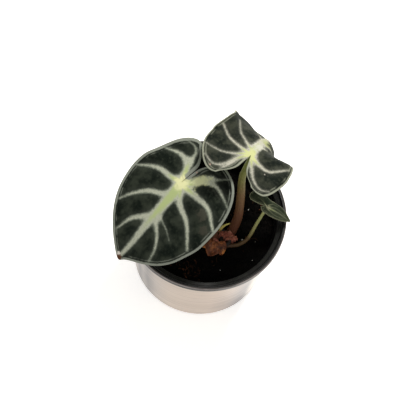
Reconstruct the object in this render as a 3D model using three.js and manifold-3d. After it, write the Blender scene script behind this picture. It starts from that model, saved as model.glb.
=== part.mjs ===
// A small potted alocasia: three leaves on a short crown, in a black nursery pot inside a steel outer pot.
// Units are millimetres and +Z is up. The origin is the centre of the steel pot's flat underside.
// The side that is seen in front faces -Y.

import * as THREE from 'three';
import { mergeVertices } from 'three/addons/utils/BufferGeometryUtils.js';
import Module from 'manifold-3d';

const wasm = await Module();
wasm.setup();

// Driving dimensions

const CLEARANCE = 0.3;
const POT_SIDES = 48;
const RIM_TOP = 74;

const STEEL = { baseRadius: 45.7, topRadius: 49.2, topZ: 70.6, wall: 0.8, heel: 3, chamfer: 0.3 };

const NURSERY = {
  rimRadius: 53,
  mouthRadius: 50.6,
  skirt: 4,
  skin: 1,
  rounding: 0.6,
  seatZ: 71,
  shoulderZ: 65.5,
  shoulderRadius: 47.4,
  baseRadius: 38,
  baseZ: 5,
  drainHoles: 6,
  drainRadius: 4,
  drainRing: 27,
  drainSides: 16,
};

// The soil heaves a little about its level, in broad waves and in fine ones.
// Its side follows the pot's wall with a gap, up to a little below the level.
const SOIL = {
  level: 60.5,
  gap: 0.45,
  sideTop: 57.5,
  edgeZ: 58.5,
  rings: 9,
  shift: 7,
  broad: { height: 0.8, across: 0.16, along: 0.19 },
  fine: { height: 0.65, across: 0.53, along: 0.31 },
};

const CORM = { x: 13, y: -11.5, radius: 8, bottom: 44, top: 66, sides: 16, bands: 10 };

// Papery scales round the crown, each from an inner to an outer [radius, z], as wide as halfWidth and
// turned towards an angle. The old ones have fallen outwards and the young ones stand round the stalks.

const OLD_SCALES = {
  centre: [11, -13],
  list: [
    { towards: -112, halfWidth: 7.6, inner: [3, 66.2], outer: [12, 61.2], arch: 1.4 },
    { towards: -150, halfWidth: 5.4, inner: [3, 65.6], outer: [11.4, 61.8], arch: 1 },
    { towards: -66, halfWidth: 5, inner: [3, 65.4], outer: [10, 62.2], arch: 1 },
  ],
};

const YOUNG_SCALES = {
  centre: [14.6, -10.6],
  collar: { radius: 4.7, bottom: 61.5, top: 67, sides: 16 },
  list: [
    { towards: 176, halfWidth: 4.2, inner: [4.6, 63], outer: [8.4, 69.8], arch: 0.6 },
    { towards: -6, halfWidth: 4.6, inner: [4.6, 63], outer: [9.8, 68.2], arch: 0.8 },
    { towards: -66, halfWidth: 4.4, inner: [4.6, 63], outer: [7.8, 67.2], arch: 0.6 },
    { towards: -118, halfWidth: 3.8, inner: [4.6, 63], outer: [6.8, 67.6], arch: 0.5 },
    { towards: 118, halfWidth: 3.6, inner: [4.6, 63], outer: [6, 71], arch: 0.5 },
  ],
};

const SCALE = { skin: 0.9, rows: 4, columns: 4, point: 0.1, taper: 2.4 };

// Each leaf: heading, pitch and roll turn its midrib, the margin gives the distance from the sinus in
// each direction off the midrib, and the droop gives how tightly the blade bends down in that direction.

const LARGE_LEAF = {
  sinus: [-18.5, 0.9, 110],
  heading: -124,
  pitch: -20,
  roll: 2,
  margin: [
    [-165.5, 27.2], [-156, 29.2], [-134, 28.5], [-117, 27.9], [-101, 28.6], [-88, 31.2], [-72, 34.6],
    [-55, 38.7], [-37, 44.8], [-22, 51.4], [-10, 58], [-4, 62], [0, 64], [3, 61.4], [8, 59],
    [17, 56.4], [25, 54.2], [34, 51], [44, 47], [56, 43.6], [69, 39.8], [84, 37], [99, 35.5],
    [113, 34.4], [127, 32.8], [140, 30.4], [150, 28.2], [157, 25.8],
  ],
  slit: [-187.5, 169.5],
  droop: [[0, 0.006], [60, 0.005], [150, 0.004], [210, 0.004], [300, 0.005]],
  wave: 0.5,
  rays: 33,
  steps: 8,
  veinWidth: 3.4,
};

const MEDIUM_LEAF = {
  sinus: [20.4, 19.9, 126],
  heading: 65,
  pitch: -6,
  roll: -2,
  margin: [
    [-147, 22], [-138, 26.4], [-130, 28.6], [-111, 28], [-97, 28], [-82, 27.6], [-66, 28.2],
    [-50, 32], [-35, 37], [-25, 41], [-16, 43.6], [-7, 46.6], [0, 50], [7, 46.6], [16, 44], [25, 42],
    [34, 40], [43, 38.7], [47, 36.8], [53, 34], [62, 32.5], [76, 32.3], [85, 31.3], [102, 31],
    [119, 30.1], [136, 29.1], [146, 27.6], [154, 24.8],
  ],
  slit: [-163, 170],
  droop: [
    [0, 0.033], [10, 0.033], [20, 0.03], [34, 0.02], [43, 0.012], [52, 0.004], [60, 0.005],
    [75, 0.008], [100, 0.006], [160, 0.006], [200, 0.008], [250, 0.006], [285, 0.008], [300, 0.02],
    [312, 0.042], [330, 0.054], [347, 0.042],
  ],
  wave: 0.4,
  rays: 33,
  steps: 8,
  veinWidth: 2.9,
};

const SMALL_LEAF = {
  sinus: [37.8, 7.1, 84],
  heading: -12,
  pitch: -18,
  roll: 0,
  margin: [
    [-160, 4.4], [-120, 4.4], [-90, 4.4], [-67, 4.7], [-42, 6.8], [-24, 9.8], [-12, 13.8], [-4, 17.2],
    [0, 19], [5, 17.4], [10, 15.6], [20, 13.2], [33, 10.6], [52, 7.6], [79, 6.2], [110, 7.6],
    [135, 11.4], [150, 14.2], [162, 14.8], [170, 13],
  ],
  slit: [-170, 178],
  droop: [[0, 0.01], [90, 0.04], [150, 0.02], [210, 0.02], [270, 0.05]],
  wave: 0.2,
  rays: 21,
  steps: 5,
  veinWidth: 1.3,
};

// The rays crowd towards the tip. From turnStart outwards they give up their swing to the slit, which
// reaches turnSpan degrees in from the end of each lobe. The margin has so many ripples in a full turn.
// The powers say how late along a ray the ripples rise, the edge thins and the ribs die out.
const BLADE = {
  thickness: 1,
  edgeThickness: 0.8,
  channel: 0.3,
  rib: 0.9,
  ribSpread: 0.6,
  crowd: 1.15,
  turnStart: 0.4,
  turnSpan: 70,
  ripples: 7,
  ripplePower: 3,
  edgePower: 4,
  ribPower: 6,
};

// Main veins, in millimetres on the flat blade: x runs from the sinus to the tip, y to the left of it.
// Each is a smooth line through its points, worked out at VEIN_POINTS places.
const VEIN_POINTS = 16;

const LARGE_VEINS = [
  [[0, 0.4], [11, 1], [30, 0.5], [50, 0.4], [60, -0.6]],
  [[0.6, -2], [1.9, -8.4], [2.4, -16], [5.4, -23], [10.6, -30.4]],
  [[7, 0.6], [12, -2.8], [17.7, -12.6], [27, -20.6], [34, -24.8]],
  [[28, -0.4], [32.4, -5.1], [38, -10], [49.5, -13.8]],
  [[20, 0.8], [29, 4.6], [35, 10.6], [42, 14.9], [50.5, 16.8]],
  [[25, 4.6], [27.7, 11.8], [35, 23]],
  [[3, 1.4], [10.6, 8.5], [16.2, 19.3], [28.6, 31]],
  [[1, 3], [0.6, 14.4], [1.2, 23.6], [9.4, 35.4]],
  [[0, 0], [-4.5, 5.8], [-9.4, 9], [-13.5, 12.8]],
  [[-13, 13], [-17.4, 17.6], [-22, 22.2]],
  [[-10.5, 11.5], [-12, 20], [-7, 33]],
  [[0, 0], [-7.3, -3], [-12.4, -5.2]],
  [[-12.4, -4.8], [-19.6, -6.2], [-22.4, -10], [-22, -15.4]],
  [[-12, -6], [-12.8, -13.5], [-9.4, -23.4]],
];

const MEDIUM_VEINS = [
  [[0, 0], [8, 1], [20, 0.8], [46, 0]],
  [[0.6, 2.6], [1.4, 9], [3.6, 17.7], [11, 27.4]],
  [[-0.6, 3], [-5, 9.1], [-8.2, 17], [-8, 28.4]],
  [[0, 0.6], [-5.5, 4.7], [-13.8, 9.3], [-18.1, 15.2], [-15.1, 24]],
  [[-9.6, 6.4], [-14.2, 7.7], [-18.6, 10]],
  [[4, 2], [7.2, 8.3], [11, 14.4], [21, 21.4]],
  [[18, 1], [25, 8], [33, 16]],
  [[28, 0.5], [35, 5], [40, 9]],
  [[28, 0.2], [35, -5], [39, -9]],
  [[14, -1], [22, -10], [27, -20]],
  [[-0.6, -1], [-2.8, -7.6], [-3, -15], [6.6, -24]],
  [[-1, -1], [-7.3, -5.1], [-13.4, -10.5], [-16.3, -17], [-14, -22.6]],
];

const SMALL_VEINS = [
  [[0, 0], [9, 0.4], [18, 0]],
  [[2, 0.5], [3.4, 3], [6, 5.4]],
  [[2, -0.5], [3.4, -2.4], [5.4, -4]],
  [[7, 0.4], [9, 2.6], [11.6, 4]],
  [[7, 0], [9, -2], [11, -3]],
  [[0, 0], [-6, 3.6], [-11, 7]],
];

// Stalks run through the listed points. A petiole then goes on to its blade.

const LARGE_PETIOLE = {
  path: [[8.8, -12, 60], [4.6, -9.6, 76], [-4, -5.4, 91], [-12.4, -2.4, 101]],
  footRadius: 3,
  neckRadius: 1.9,
};

const MEDIUM_PETIOLE = {
  path: [[16.8, -7.6, 60.5], [19.4, -0.8, 76], [18.7, 7.2, 94], [17.9, 13.6, 108.5]],
  footRadius: 2.9,
  neckRadius: 1.7,
};

const SMALL_PETIOLE = {
  path: [[17.4, -15.4, 61.8], [24.4, -13.6, 63.2], [29.4, -9.4, 64.8], [34.2, 1.7, 72]],
  footRadius: 1.5,
  neckRadius: 1.1,
};

const SHOOT = {
  path: [[10.6, -7.6, 60.5], [10.5, -7, 67], [12.6, -5.8, 70.6], [16, -4.8, 72.6]],
  footRadius: 1.4,
  neckRadius: 0.4,
};

// A stalk thins by the power of taper along its run. A petiole rises squarely to its blade for neckRun
// times its neck radius, and meets it so many vein widths in front of the sinus.
const STALK = { sides: 10, steps: 12, taper: 2.4, neckRun: 1.6, attach: 0.7 };

// Solids

function closedGeometry(points, triangles) {
  const geometry = new THREE.BufferGeometry();
  geometry.setAttribute('position', new THREE.Float32BufferAttribute(points.flat(), 3));
  geometry.setIndex(triangles.flat());
  return geometry;
}

function toSolid(geometry) {
  const bare = geometry.clone();
  bare.deleteAttribute('normal');
  bare.deleteAttribute('uv');
  const merged = mergeVertices(bare, 1e-4);
  const index = merged.index.array;
  const triVerts = [];
  for (let i = 0; i < index.length; i += 3) {
    const [a, b, c] = [index[i], index[i + 1], index[i + 2]];
    if (a !== b && b !== c && c !== a) {
      triVerts.push(a, b, c);
    }
  }
  return new wasm.Manifold(new wasm.Mesh({
    numProp: 3,
    vertProperties: new Float32Array(merged.attributes.position.array),
    triVerts: new Uint32Array(triVerts),
  }));
}

function toGeometry(solid) {
  const mesh = solid.getMesh();
  const geometry = new THREE.BufferGeometry();
  geometry.setAttribute('position', new THREE.Float32BufferAttribute(mesh.vertProperties, 3));
  geometry.setIndex(Array.from(mesh.triVerts));
  return geometry;
}

// Rings of equal length, one after the other, are joined into a skin and closed at both ends.
function solidFromRings(rings) {
  const count = rings[0].length;
  const points = rings.flat();
  const triangles = [];
  for (let i = 0; i + 1 < rings.length; i += 1) {
    for (let j = 0; j < count; j += 1) {
      const k = (j + 1) % count;
      const [a, b] = [i * count + j, i * count + k];
      const [c, d] = [a + count, b + count];
      triangles.push([a, b, d], [a, d, c]);
    }
  }
  const middle = (ring) => [0, 1, 2].map((axis) => ring.reduce((sum, p) => sum + p[axis], 0) / count);
  const foot = points.push(middle(rings[0])) - 1;
  const head = points.push(middle(rings.at(-1))) - 1;
  const last = (rings.length - 1) * count;
  for (let j = 0; j < count; j += 1) {
    const k = (j + 1) % count;
    triangles.push([foot, k, j], [head, last + j, last + k]);
  }
  return closedGeometry(points, triangles);
}

// Two grids of points, one above the other, become a closed slab. Both are split into the same triangles.
function slabFromGrids(upper, lower, rows, columns) {
  const below = upper.length;
  const at = (i, j) => i * columns + j;
  const triangles = [];
  const bothFaces = (a, b, c) => {
    triangles.push([a, b, c], [a + below, c + below, b + below]);
  };
  const edge = (a, b) => {
    triangles.push([a, a + below, b + below], [a, b + below, b]);
  };
  for (let i = 0; i + 1 < rows; i += 1) {
    for (let j = 0; j + 1 < columns; j += 1) {
      bothFaces(at(i, j), at(i, j + 1), at(i + 1, j + 1));
      bothFaces(at(i, j), at(i + 1, j + 1), at(i + 1, j));
    }
    edge(at(i, columns - 1), at(i + 1, columns - 1));
    edge(at(i + 1, 0), at(i, 0));
  }
  for (let j = 0; j + 1 < columns; j += 1) {
    edge(at(0, j), at(0, j + 1));
    edge(at(rows - 1, j + 1), at(rows - 1, j));
  }
  return closedGeometry([...upper, ...lower], triangles);
}

function turned(profile, sides) {
  const points = profile.map(([radius, z]) => new THREE.Vector2(radius, z));
  return new THREE.LatheGeometry(points, sides).rotateX(Math.PI / 2);
}

// Curves through listed points

// A smooth value between listed [position, value] pairs, flat beyond the ends.
function smoothValue(pairs, x) {
  const last = pairs.length - 1;
  if (x <= pairs[0][0]) {
    return pairs[0][1];
  }
  if (x >= pairs[last][0]) {
    return pairs[last][1];
  }
  const i = pairs.findIndex(([position]) => position > x) - 1;
  const slope = (k) => {
    const before = pairs[Math.max(k - 1, 0)];
    const after = pairs[Math.min(k + 1, last)];
    return (after[1] - before[1]) / (after[0] - before[0]);
  };
  const span = pairs[i + 1][0] - pairs[i][0];
  const t = (x - pairs[i][0]) / span;
  const [t2, t3] = [t * t, t * t * t];
  return (2 * t3 - 3 * t2 + 1) * pairs[i][1] + (t3 - 2 * t2 + t) * span * slope(i)
    + (3 * t2 - 2 * t3) * pairs[i + 1][1] + (t3 - t2) * span * slope(i + 1);
}

function roundValue(pairs, degrees) {
  const angle = ((degrees % 360) + 360) % 360;
  const before = pairs.slice(-2).map(([position, value]) => [position - 360, value]);
  const after = pairs.slice(0, 2).map(([position, value]) => [position + 360, value]);
  return smoothValue([...before, ...pairs, ...after], angle);
}

function easeInOut(x) {
  const t = Math.min(Math.max(x, 0), 1);
  return t * t * (3 - 2 * t);
}

// Leaf blades

function leafAxes(leaf) {
  const turn = new THREE.Euler(
    THREE.MathUtils.degToRad(leaf.roll),
    THREE.MathUtils.degToRad(-leaf.pitch),
    THREE.MathUtils.degToRad(leaf.heading),
    'ZYX',
  );
  const axes = [new THREE.Vector3(1, 0, 0), new THREE.Vector3(0, 1, 0), new THREE.Vector3(0, 0, 1)];
  return axes.map((axis) => axis.applyEuler(turn));
}

// A point of the blade's middle surface. The ray leaves the sinus along the flat blade and bends down.
function bladePoint(leaf, degrees, distance) {
  const [forward, left, up] = leafAxes(leaf);
  const droop = roundValue(leaf.droop, degrees);
  const out = Math.sin(droop * distance) / droop;
  const down = (1 - Math.cos(droop * distance)) / droop;
  const angle = THREE.MathUtils.degToRad(degrees);
  const reach = smoothValue(leaf.margin, degrees);
  const ripple = leaf.wave * Math.sin(angle * BLADE.ripples) * (distance / reach) ** BLADE.ripplePower;
  return new THREE.Vector3(...leaf.sinus)
    .addScaledVector(forward, out * Math.cos(angle))
    .addScaledVector(left, out * Math.sin(angle))
    .addScaledVector(up, ripple - down);
}

function bladeNormal(leaf, degrees, distance) {
  if (distance === 0) {
    return leafAxes(leaf)[2];
  }
  const step = Math.min(distance, 1) / 2;
  const along = bladePoint(leaf, degrees, distance + step).sub(bladePoint(leaf, degrees, distance - step));
  const across = bladePoint(leaf, degrees + 1, distance).sub(bladePoint(leaf, degrees - 1, distance));
  return along.cross(across).normalize();
}

// The directions of the rays, closer together at the tip, from the right lobe round to the left one.
function rayDirections(leaf) {
  const [first, last] = [leaf.margin[0][0], leaf.margin.at(-1)[0]];
  const directions = [];
  for (let i = -leaf.rays; i <= leaf.rays; i += 1) {
    const end = i < 0 ? first : last;
    directions.push(end * Math.abs(i / leaf.rays) ** BLADE.crowd);
  }
  return directions;
}

// Near the sinus the rays swing towards the slit, so that the lobes round off at their ends.
function swungDirection(leaf, degrees, part) {
  const side = degrees < 0 ? 0 : 1;
  const lobe = side === 0 ? leaf.margin[0][0] : leaf.margin.at(-1)[0];
  const share = easeInOut((Math.abs(degrees) - Math.abs(lobe)) / BLADE.turnSpan + 1);
  const swing = 1 - easeInOut((part - BLADE.turnStart) / (1 - BLADE.turnStart));
  return degrees + (leaf.slit[side] - lobe) * share * swing;
}

function veinLines(veins) {
  return veins.map((vein) => {
    const curve = new THREE.SplineCurve(vein.map(([x, y]) => new THREE.Vector2(x, y)));
    return curve.getPoints(VEIN_POINTS);
  });
}

function distanceToLines(lines, x, y) {
  let nearest = Infinity;
  for (const line of lines) {
    for (let i = 0; i + 1 < line.length; i += 1) {
      const [a, b] = [line[i], line[i + 1]];
      const [dx, dy] = [b.x - a.x, b.y - a.y];
      const t = Math.min(Math.max(((x - a.x) * dx + (y - a.y) * dy) / (dx * dx + dy * dy), 0), 1);
      nearest = Math.min(nearest, Math.hypot(x - a.x - t * dx, y - a.y - t * dy));
    }
  }
  return nearest;
}

// Veins lie in shallow channels on the upper face and stand out as ribs on the lower face.
function bladeGeometry(leaf, veins) {
  const lines = veinLines(veins);
  const directions = rayDirections(leaf);
  const upper = [];
  const lower = [];
  for (const degrees of directions) {
    const reach = smoothValue(leaf.margin, degrees);
    for (let j = 0; j <= leaf.steps; j += 1) {
      const part = j / leaf.steps;
      const direction = swungDirection(leaf, degrees, part);
      const distance = reach * part;
      const point = bladePoint(leaf, direction, distance);
      const normal = bladeNormal(leaf, direction, distance);
      const angle = THREE.MathUtils.degToRad(direction);
      const gap = distanceToLines(lines, distance * Math.cos(angle), distance * Math.sin(angle));
      const vein = Math.exp(-((gap / (leaf.veinWidth * BLADE.ribSpread)) ** 2)) * (1 - part ** BLADE.ribPower);
      const half = THREE.MathUtils.lerp(BLADE.thickness, BLADE.edgeThickness, part ** BLADE.edgePower) / 2;
      upper.push(point.clone().addScaledVector(normal, half - BLADE.channel * vein).toArray());
      lower.push(point.clone().addScaledVector(normal, -half - BLADE.rib * vein).toArray());
    }
  }
  return toGeometry(toSolid(slabFromGrids(upper, lower, directions.length, leaf.steps + 1)));
}

// Stalks

// A petiole meets the blade just in front of the sinus and ends a hair below its lower face.
function petioleCurve(petiole, leaf) {
  const attach = leaf.veinWidth * STALK.attach;
  const seat = bladePoint(leaf, 0, attach);
  const normal = bladeNormal(leaf, 0, attach);
  const depth = BLADE.thickness / 2 + BLADE.rib + CLEARANCE;
  const end = seat.clone().addScaledVector(normal, -depth);
  const before = seat.clone().addScaledVector(normal, -depth - petiole.neckRadius * STALK.neckRun);
  return stalkCurve([...petiole.path, before.toArray(), end.toArray()]);
}

function stalkCurve(path) {
  return new THREE.CatmullRomCurve3(path.map((p) => new THREE.Vector3(...p)), false, 'centripetal');
}

function stalkGeometry(stalk, curve, extra = 0) {
  const frames = curve.computeFrenetFrames(STALK.steps, false);
  const rings = [];
  for (let i = 0; i <= STALK.steps; i += 1) {
    const part = i / STALK.steps;
    const centre = curve.getPointAt(part);
    const radius = THREE.MathUtils.lerp(stalk.footRadius, stalk.neckRadius, part ** STALK.taper) + extra;
    const ring = [];
    for (let j = 0; j < STALK.sides; j += 1) {
      const angle = (2 * Math.PI * j) / STALK.sides;
      ring.push(centre.clone()
        .addScaledVector(frames.normals[i], radius * Math.cos(angle))
        .addScaledVector(frames.binormals[i], radius * Math.sin(angle))
        .toArray());
    }
    rings.push(ring);
  }
  return solidFromRings(rings);
}

// Pots

function steelPotGeometry() {
  const { baseRadius, topRadius, topZ, wall, heel, chamfer } = STEEL;
  const lean = (topRadius - baseRadius) / topZ;
  const outside = (z) => baseRadius + lean * z;
  const bend = heel * (1 - Math.SQRT1_2);
  return turned([
    [0, 0],
    [baseRadius - heel, 0],
    [baseRadius - bend, bend],
    [outside(heel), heel],
    [outside(topZ - chamfer), topZ - chamfer],
    [topRadius - chamfer, topZ],
    [topRadius - wall, topZ],
    [outside(heel) - wall, heel],
    [baseRadius - bend - wall, bend + wall],
    [baseRadius - heel - wall, wall],
    [0, wall],
  ], POT_SIDES);
}

// The wall's inner radius at a height, below the shoulder.
function nurseryInside(z) {
  const { baseRadius, baseZ, shoulderRadius, shoulderZ, skin } = NURSERY;
  const part = (z - baseZ) / (shoulderZ - baseZ);
  return baseRadius + (shoulderRadius - baseRadius) * part - skin;
}

function nurseryPotGeometry() {
  const { rimRadius, mouthRadius, skirt, skin, rounding, seatZ, shoulderZ, shoulderRadius } = NURSERY;
  const { baseRadius, baseZ } = NURSERY;
  const skirtZ = RIM_TOP - skirt;
  const collar = STEEL.topRadius - STEEL.wall - CLEARANCE;
  const shell = toSolid(turned([
    [0, baseZ],
    [baseRadius, baseZ],
    [shoulderRadius, shoulderZ],
    [collar, shoulderZ + skin],
    [collar, seatZ],
    [rimRadius - skin - rounding, seatZ],
    [rimRadius - skin, seatZ - rounding],
    [rimRadius - skin, skirtZ],
    [rimRadius, skirtZ],
    [rimRadius, RIM_TOP - rounding],
    [rimRadius - rounding, RIM_TOP],
    [mouthRadius + rounding, RIM_TOP],
    [mouthRadius, RIM_TOP - rounding],
    [mouthRadius - rounding, seatZ + skin],
    [collar - skin, seatZ + skin - rounding],
    [collar - skin, shoulderZ + skin + rounding],
    [nurseryInside(shoulderZ), shoulderZ + rounding],
    [nurseryInside(baseZ + skin), baseZ + skin],
    [0, baseZ + skin],
  ], POT_SIDES));
  let pot = shell;
  for (let i = 0; i < NURSERY.drainHoles; i += 1) {
    const angle = (2 * Math.PI * (i + 0.5)) / NURSERY.drainHoles;
    const { drainRadius, drainSides } = NURSERY;
    const hole = new THREE.CylinderGeometry(drainRadius, drainRadius, skin * 4, drainSides)
      .rotateX(Math.PI / 2)
      .translate(NURSERY.drainRing * Math.cos(angle), NURSERY.drainRing * Math.sin(angle), baseZ);
    pot = pot.subtract(toSolid(hole));
  }
  return toGeometry(pot);
}

// Soil

function soilHeight(x, y) {
  const { level, shift, broad, fine } = SOIL;
  const broadWave = Math.sin(x * broad.across + shift) * Math.cos(y * broad.along - shift);
  const fineWave = Math.sin(x * fine.across + y * fine.along + shift)
    * Math.sin(y * fine.across - x * fine.along);
  return level + broad.height * broadWave + fine.height * fineWave;
}

function soilSolid(extra) {
  const floor = NURSERY.baseZ + NURSERY.skin + CLEARANCE;
  const ringAt = (radius, height) => {
    const ring = [];
    for (let j = 0; j < POT_SIDES; j += 1) {
      const angle = (2 * Math.PI * j) / POT_SIDES;
      const [x, y] = [radius * Math.cos(angle), radius * Math.sin(angle)];
      ring.push([x, y, height(x, y)]);
    }
    return ring;
  };
  const side = (z) => nurseryInside(z) - SOIL.gap;
  const rings = [ringAt(side(floor), () => floor)];
  rings.push(ringAt(side(SOIL.sideTop), () => SOIL.sideTop));
  const edge = side(SOIL.edgeZ);
  for (let i = SOIL.rings; i > 0; i -= 1) {
    rings.push(ringAt((edge * i) / SOIL.rings, (x, y) => soilHeight(x, y) + extra));
  }
  return toSolid(solidFromRings(rings));
}

// Crown

function cormSolid(extra) {
  const middle = (CORM.top + CORM.bottom) / 2;
  const tall = (CORM.top - CORM.bottom) / 2;
  return toSolid(new THREE.SphereGeometry(1, CORM.sides, CORM.bands)
    .rotateX(Math.PI / 2)
    .scale(CORM.radius + extra, CORM.radius + extra, tall + extra)
    .translate(CORM.x, CORM.y, middle));
}

// One scale: a curved skin, broad at its foot and drawn out to a point.
function scaleSolid(centre, scale, extra) {
  const { towards, halfWidth, inner, outer, arch } = scale;
  const run = [outer[0] - inner[0], outer[1] - inner[1]];
  const length = Math.hypot(...run);
  const across = [-run[1] / length, run[0] / length];
  const faces = [[], []];
  for (let i = 0; i <= SCALE.rows; i += 1) {
    const part = (i / SCALE.rows) * (1 + extra / length);
    const width = halfWidth * (1 - (1 - SCALE.point) * Math.min(part, 1) ** SCALE.taper) + extra;
    for (let j = 0; j <= SCALE.columns; j += 1) {
      const side = 1 - (2 * j) / SCALE.columns;
      const rise = arch * (4 * part * (1 - part) - side * side);
      faces.forEach((face, lower) => {
        const lift = rise + (lower ? -extra : SCALE.skin + extra);
        const radius = inner[0] + run[0] * part + across[0] * lift;
        const z = inner[1] + run[1] * part + across[1] * lift;
        const spread = (side * width) / Math.max(radius, halfWidth);
        const angle = THREE.MathUtils.degToRad(towards) + spread;
        face.push([centre[0] + radius * Math.cos(angle), centre[1] + radius * Math.sin(angle), z]);
      });
    }
  }
  return toSolid(slabFromGrids(faces[0], faces[1], SCALE.rows + 1, SCALE.columns + 1));
}

function joined(solids) {
  return solids.reduce((sum, solid) => sum.add(solid));
}

// Cutting can leave loose crumbs beside a piece, and only the piece itself is kept.
function largestPart(solid) {
  return solid.decompose().reduce((best, part) => (part.volume() > best.volume() ? part : best));
}

function oldScaleSolid(extra) {
  return joined(OLD_SCALES.list.map((scale) => scaleSolid(OLD_SCALES.centre, scale, extra)));
}

function youngScaleSolid() {
  const { centre, collar, list } = YOUNG_SCALES;
  const { radius, bottom, top, sides } = collar;
  const outside = radius + SCALE.skin;
  const corners = [[radius, bottom], [outside, bottom], [outside, top], [radius, top], [radius, bottom]];
  const ring = turned(corners, sides).translate(centre[0], centre[1], 0);
  return joined([toSolid(ring), ...list.map((scale) => scaleSolid(centre, scale, 0))]);
}

const group = new THREE.Group();

function addPiece(name, geometry, color, roughness, metalness = 0) {
  const material = new THREE.MeshStandardMaterial({ color, roughness, metalness });
  const mesh = new THREE.Mesh(geometry, material);
  mesh.name = name;
  group.add(mesh);
}

const stalks = {
  large_petiole: [LARGE_PETIOLE, petioleCurve(LARGE_PETIOLE, LARGE_LEAF)],
  medium_petiole: [MEDIUM_PETIOLE, petioleCurve(MEDIUM_PETIOLE, MEDIUM_LEAF)],
  small_petiole: [SMALL_PETIOLE, petioleCurve(SMALL_PETIOLE, SMALL_LEAF)],
  shoot_tip: [SHOOT, stalkCurve(SHOOT.path)],
};

// Stalks stand in plain sockets in the crown, the sheath and the soil.
const sockets = joined(Object.values(stalks).map((stalk) => toSolid(stalkGeometry(...stalk, CLEARANCE))));
const raisedSoil = soilSolid(CLEARANCE);
const cormSocket = cormSolid(CLEARANCE);
const oldScales = oldScaleSolid(0).subtract(raisedSoil);
const crown = largestPart(cormSolid(0).add(oldScales).subtract(sockets));
const crownSocket = cormSocket.add(oldScaleSolid(CLEARANCE * 2));
const sheath = largestPart(youngScaleSolid().subtract(joined([crownSocket, sockets, raisedSoil])));
const soil = largestPart(soilSolid(0).subtract(cormSocket).subtract(sockets));

addPiece('steel_pot', steelPotGeometry(), 0xb9aea6, 0.35, 1);
addPiece('nursery_pot', nurseryPotGeometry(), 0x1c1c1d, 0.5);
addPiece('soil', toGeometry(soil), 0x17120e, 1);
addPiece('crown', toGeometry(crown), 0x9a5a3a, 0.8);
addPiece('sheath', toGeometry(sheath), 0xb98074, 0.8);
addPiece('shoot_tip', stalkGeometry(...stalks.shoot_tip), 0xd8cf86, 0.5);
addPiece('large_petiole', stalkGeometry(...stalks.large_petiole), 0x7a5a3c, 0.5);
addPiece('medium_petiole', stalkGeometry(...stalks.medium_petiole), 0x7d6a3a, 0.5);
addPiece('small_petiole', stalkGeometry(...stalks.small_petiole), 0xa8a060, 0.5);
addPiece('large_leaf', bladeGeometry(LARGE_LEAF, LARGE_VEINS), 0x2c3a2c, 0.7);
addPiece('medium_leaf', bladeGeometry(MEDIUM_LEAF, MEDIUM_VEINS), 0x2c3a2c, 0.7);
addPiece('small_leaf', bladeGeometry(SMALL_LEAF, SMALL_VEINS), 0x3d4f36, 0.7);

export default group;
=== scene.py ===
# %% [markdown]
# # A potted jewel alocasia
#
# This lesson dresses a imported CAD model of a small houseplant. The model gives every place and size.
# Here each piece gets its fine form and its finish. Lengths are written in millimetres, as in the model,
# and turned into Blender's metres only when a mesh is made.

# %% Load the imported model
import math

import bpy
import numpy as np
from mathutils import Euler, Matrix, Vector, noise


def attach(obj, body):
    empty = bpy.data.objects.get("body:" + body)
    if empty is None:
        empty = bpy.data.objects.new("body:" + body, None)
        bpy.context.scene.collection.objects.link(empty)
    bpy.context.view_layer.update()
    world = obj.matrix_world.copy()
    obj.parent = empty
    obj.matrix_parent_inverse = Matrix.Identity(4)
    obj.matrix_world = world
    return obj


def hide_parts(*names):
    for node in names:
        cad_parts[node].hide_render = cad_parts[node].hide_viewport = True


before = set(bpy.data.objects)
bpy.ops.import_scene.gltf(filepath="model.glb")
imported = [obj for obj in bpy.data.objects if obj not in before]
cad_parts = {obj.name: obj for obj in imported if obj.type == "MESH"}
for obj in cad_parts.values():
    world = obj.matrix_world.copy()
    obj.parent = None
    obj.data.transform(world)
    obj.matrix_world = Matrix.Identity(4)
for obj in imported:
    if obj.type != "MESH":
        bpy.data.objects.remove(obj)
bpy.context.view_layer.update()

MM = 0.001
print("pieces in the packed model:", sorted(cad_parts))

# %% [markdown]
# ## The camera
#
# The plant was photographed from high in front, with the camera tipped a little. The pot's round lip is
# seen as an oval, and the oval's shape gives the height of the view. A long lens keeps both ends of the
# pot nearly the same size. The camera looks along its own -Z axis, so one turn about X lowers the view
# and a turn about Z tips it.

# %% Camera
VIEW_ELEVATION = 65.5
VIEW_TIP = 10.7
EYE = (0.57, -267.0, 667.3)
SENSOR = 36
FOCAL_PIXELS = 1000
FRAME_PIXELS = 416

camera_data = bpy.data.cameras.new("camera")
camera_data.sensor_width = SENSOR
camera_data.lens = SENSOR * FOCAL_PIXELS / FRAME_PIXELS
camera = bpy.data.objects.new("camera", camera_data)
bpy.context.scene.collection.objects.link(camera)
lowered = Matrix.Rotation(math.radians(90 - VIEW_ELEVATION), 4, "X")
tipped = Matrix.Rotation(math.radians(VIEW_TIP), 4, "Z")
camera.matrix_world = Matrix.Translation(Vector(EYE) * MM) @ lowered @ tipped
bpy.context.scene.camera = camera
print("lens in millimetres:", round(camera_data.lens, 2))

# %% [markdown]
# ## Light and floor
#
# The plant stands on a white sheet in bright soft light. A pale world lights it from all sides, and one
# lamp behind it on the right gives the gentle shadows to the left. A wider lamp in front fills them. The
# plain view transform and a faint glow of its own keep the sheet white.

# %% Light and floor
SKY_STRENGTH = 0.62
KEY_POWER = 9.5
FILL_POWER = 1.5
LAMP_AIM = 0.07
SHEET_GLOW = 0.46

world = bpy.data.worlds.new("studio")
world.use_nodes = True
world.node_tree.nodes["Background"].inputs["Color"].default_value = (1, 0.985, 0.96, 1)
world.node_tree.nodes["Background"].inputs["Strength"].default_value = SKY_STRENGTH
bpy.context.scene.world = world
bpy.context.scene.view_settings.view_transform = "Standard"


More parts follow.
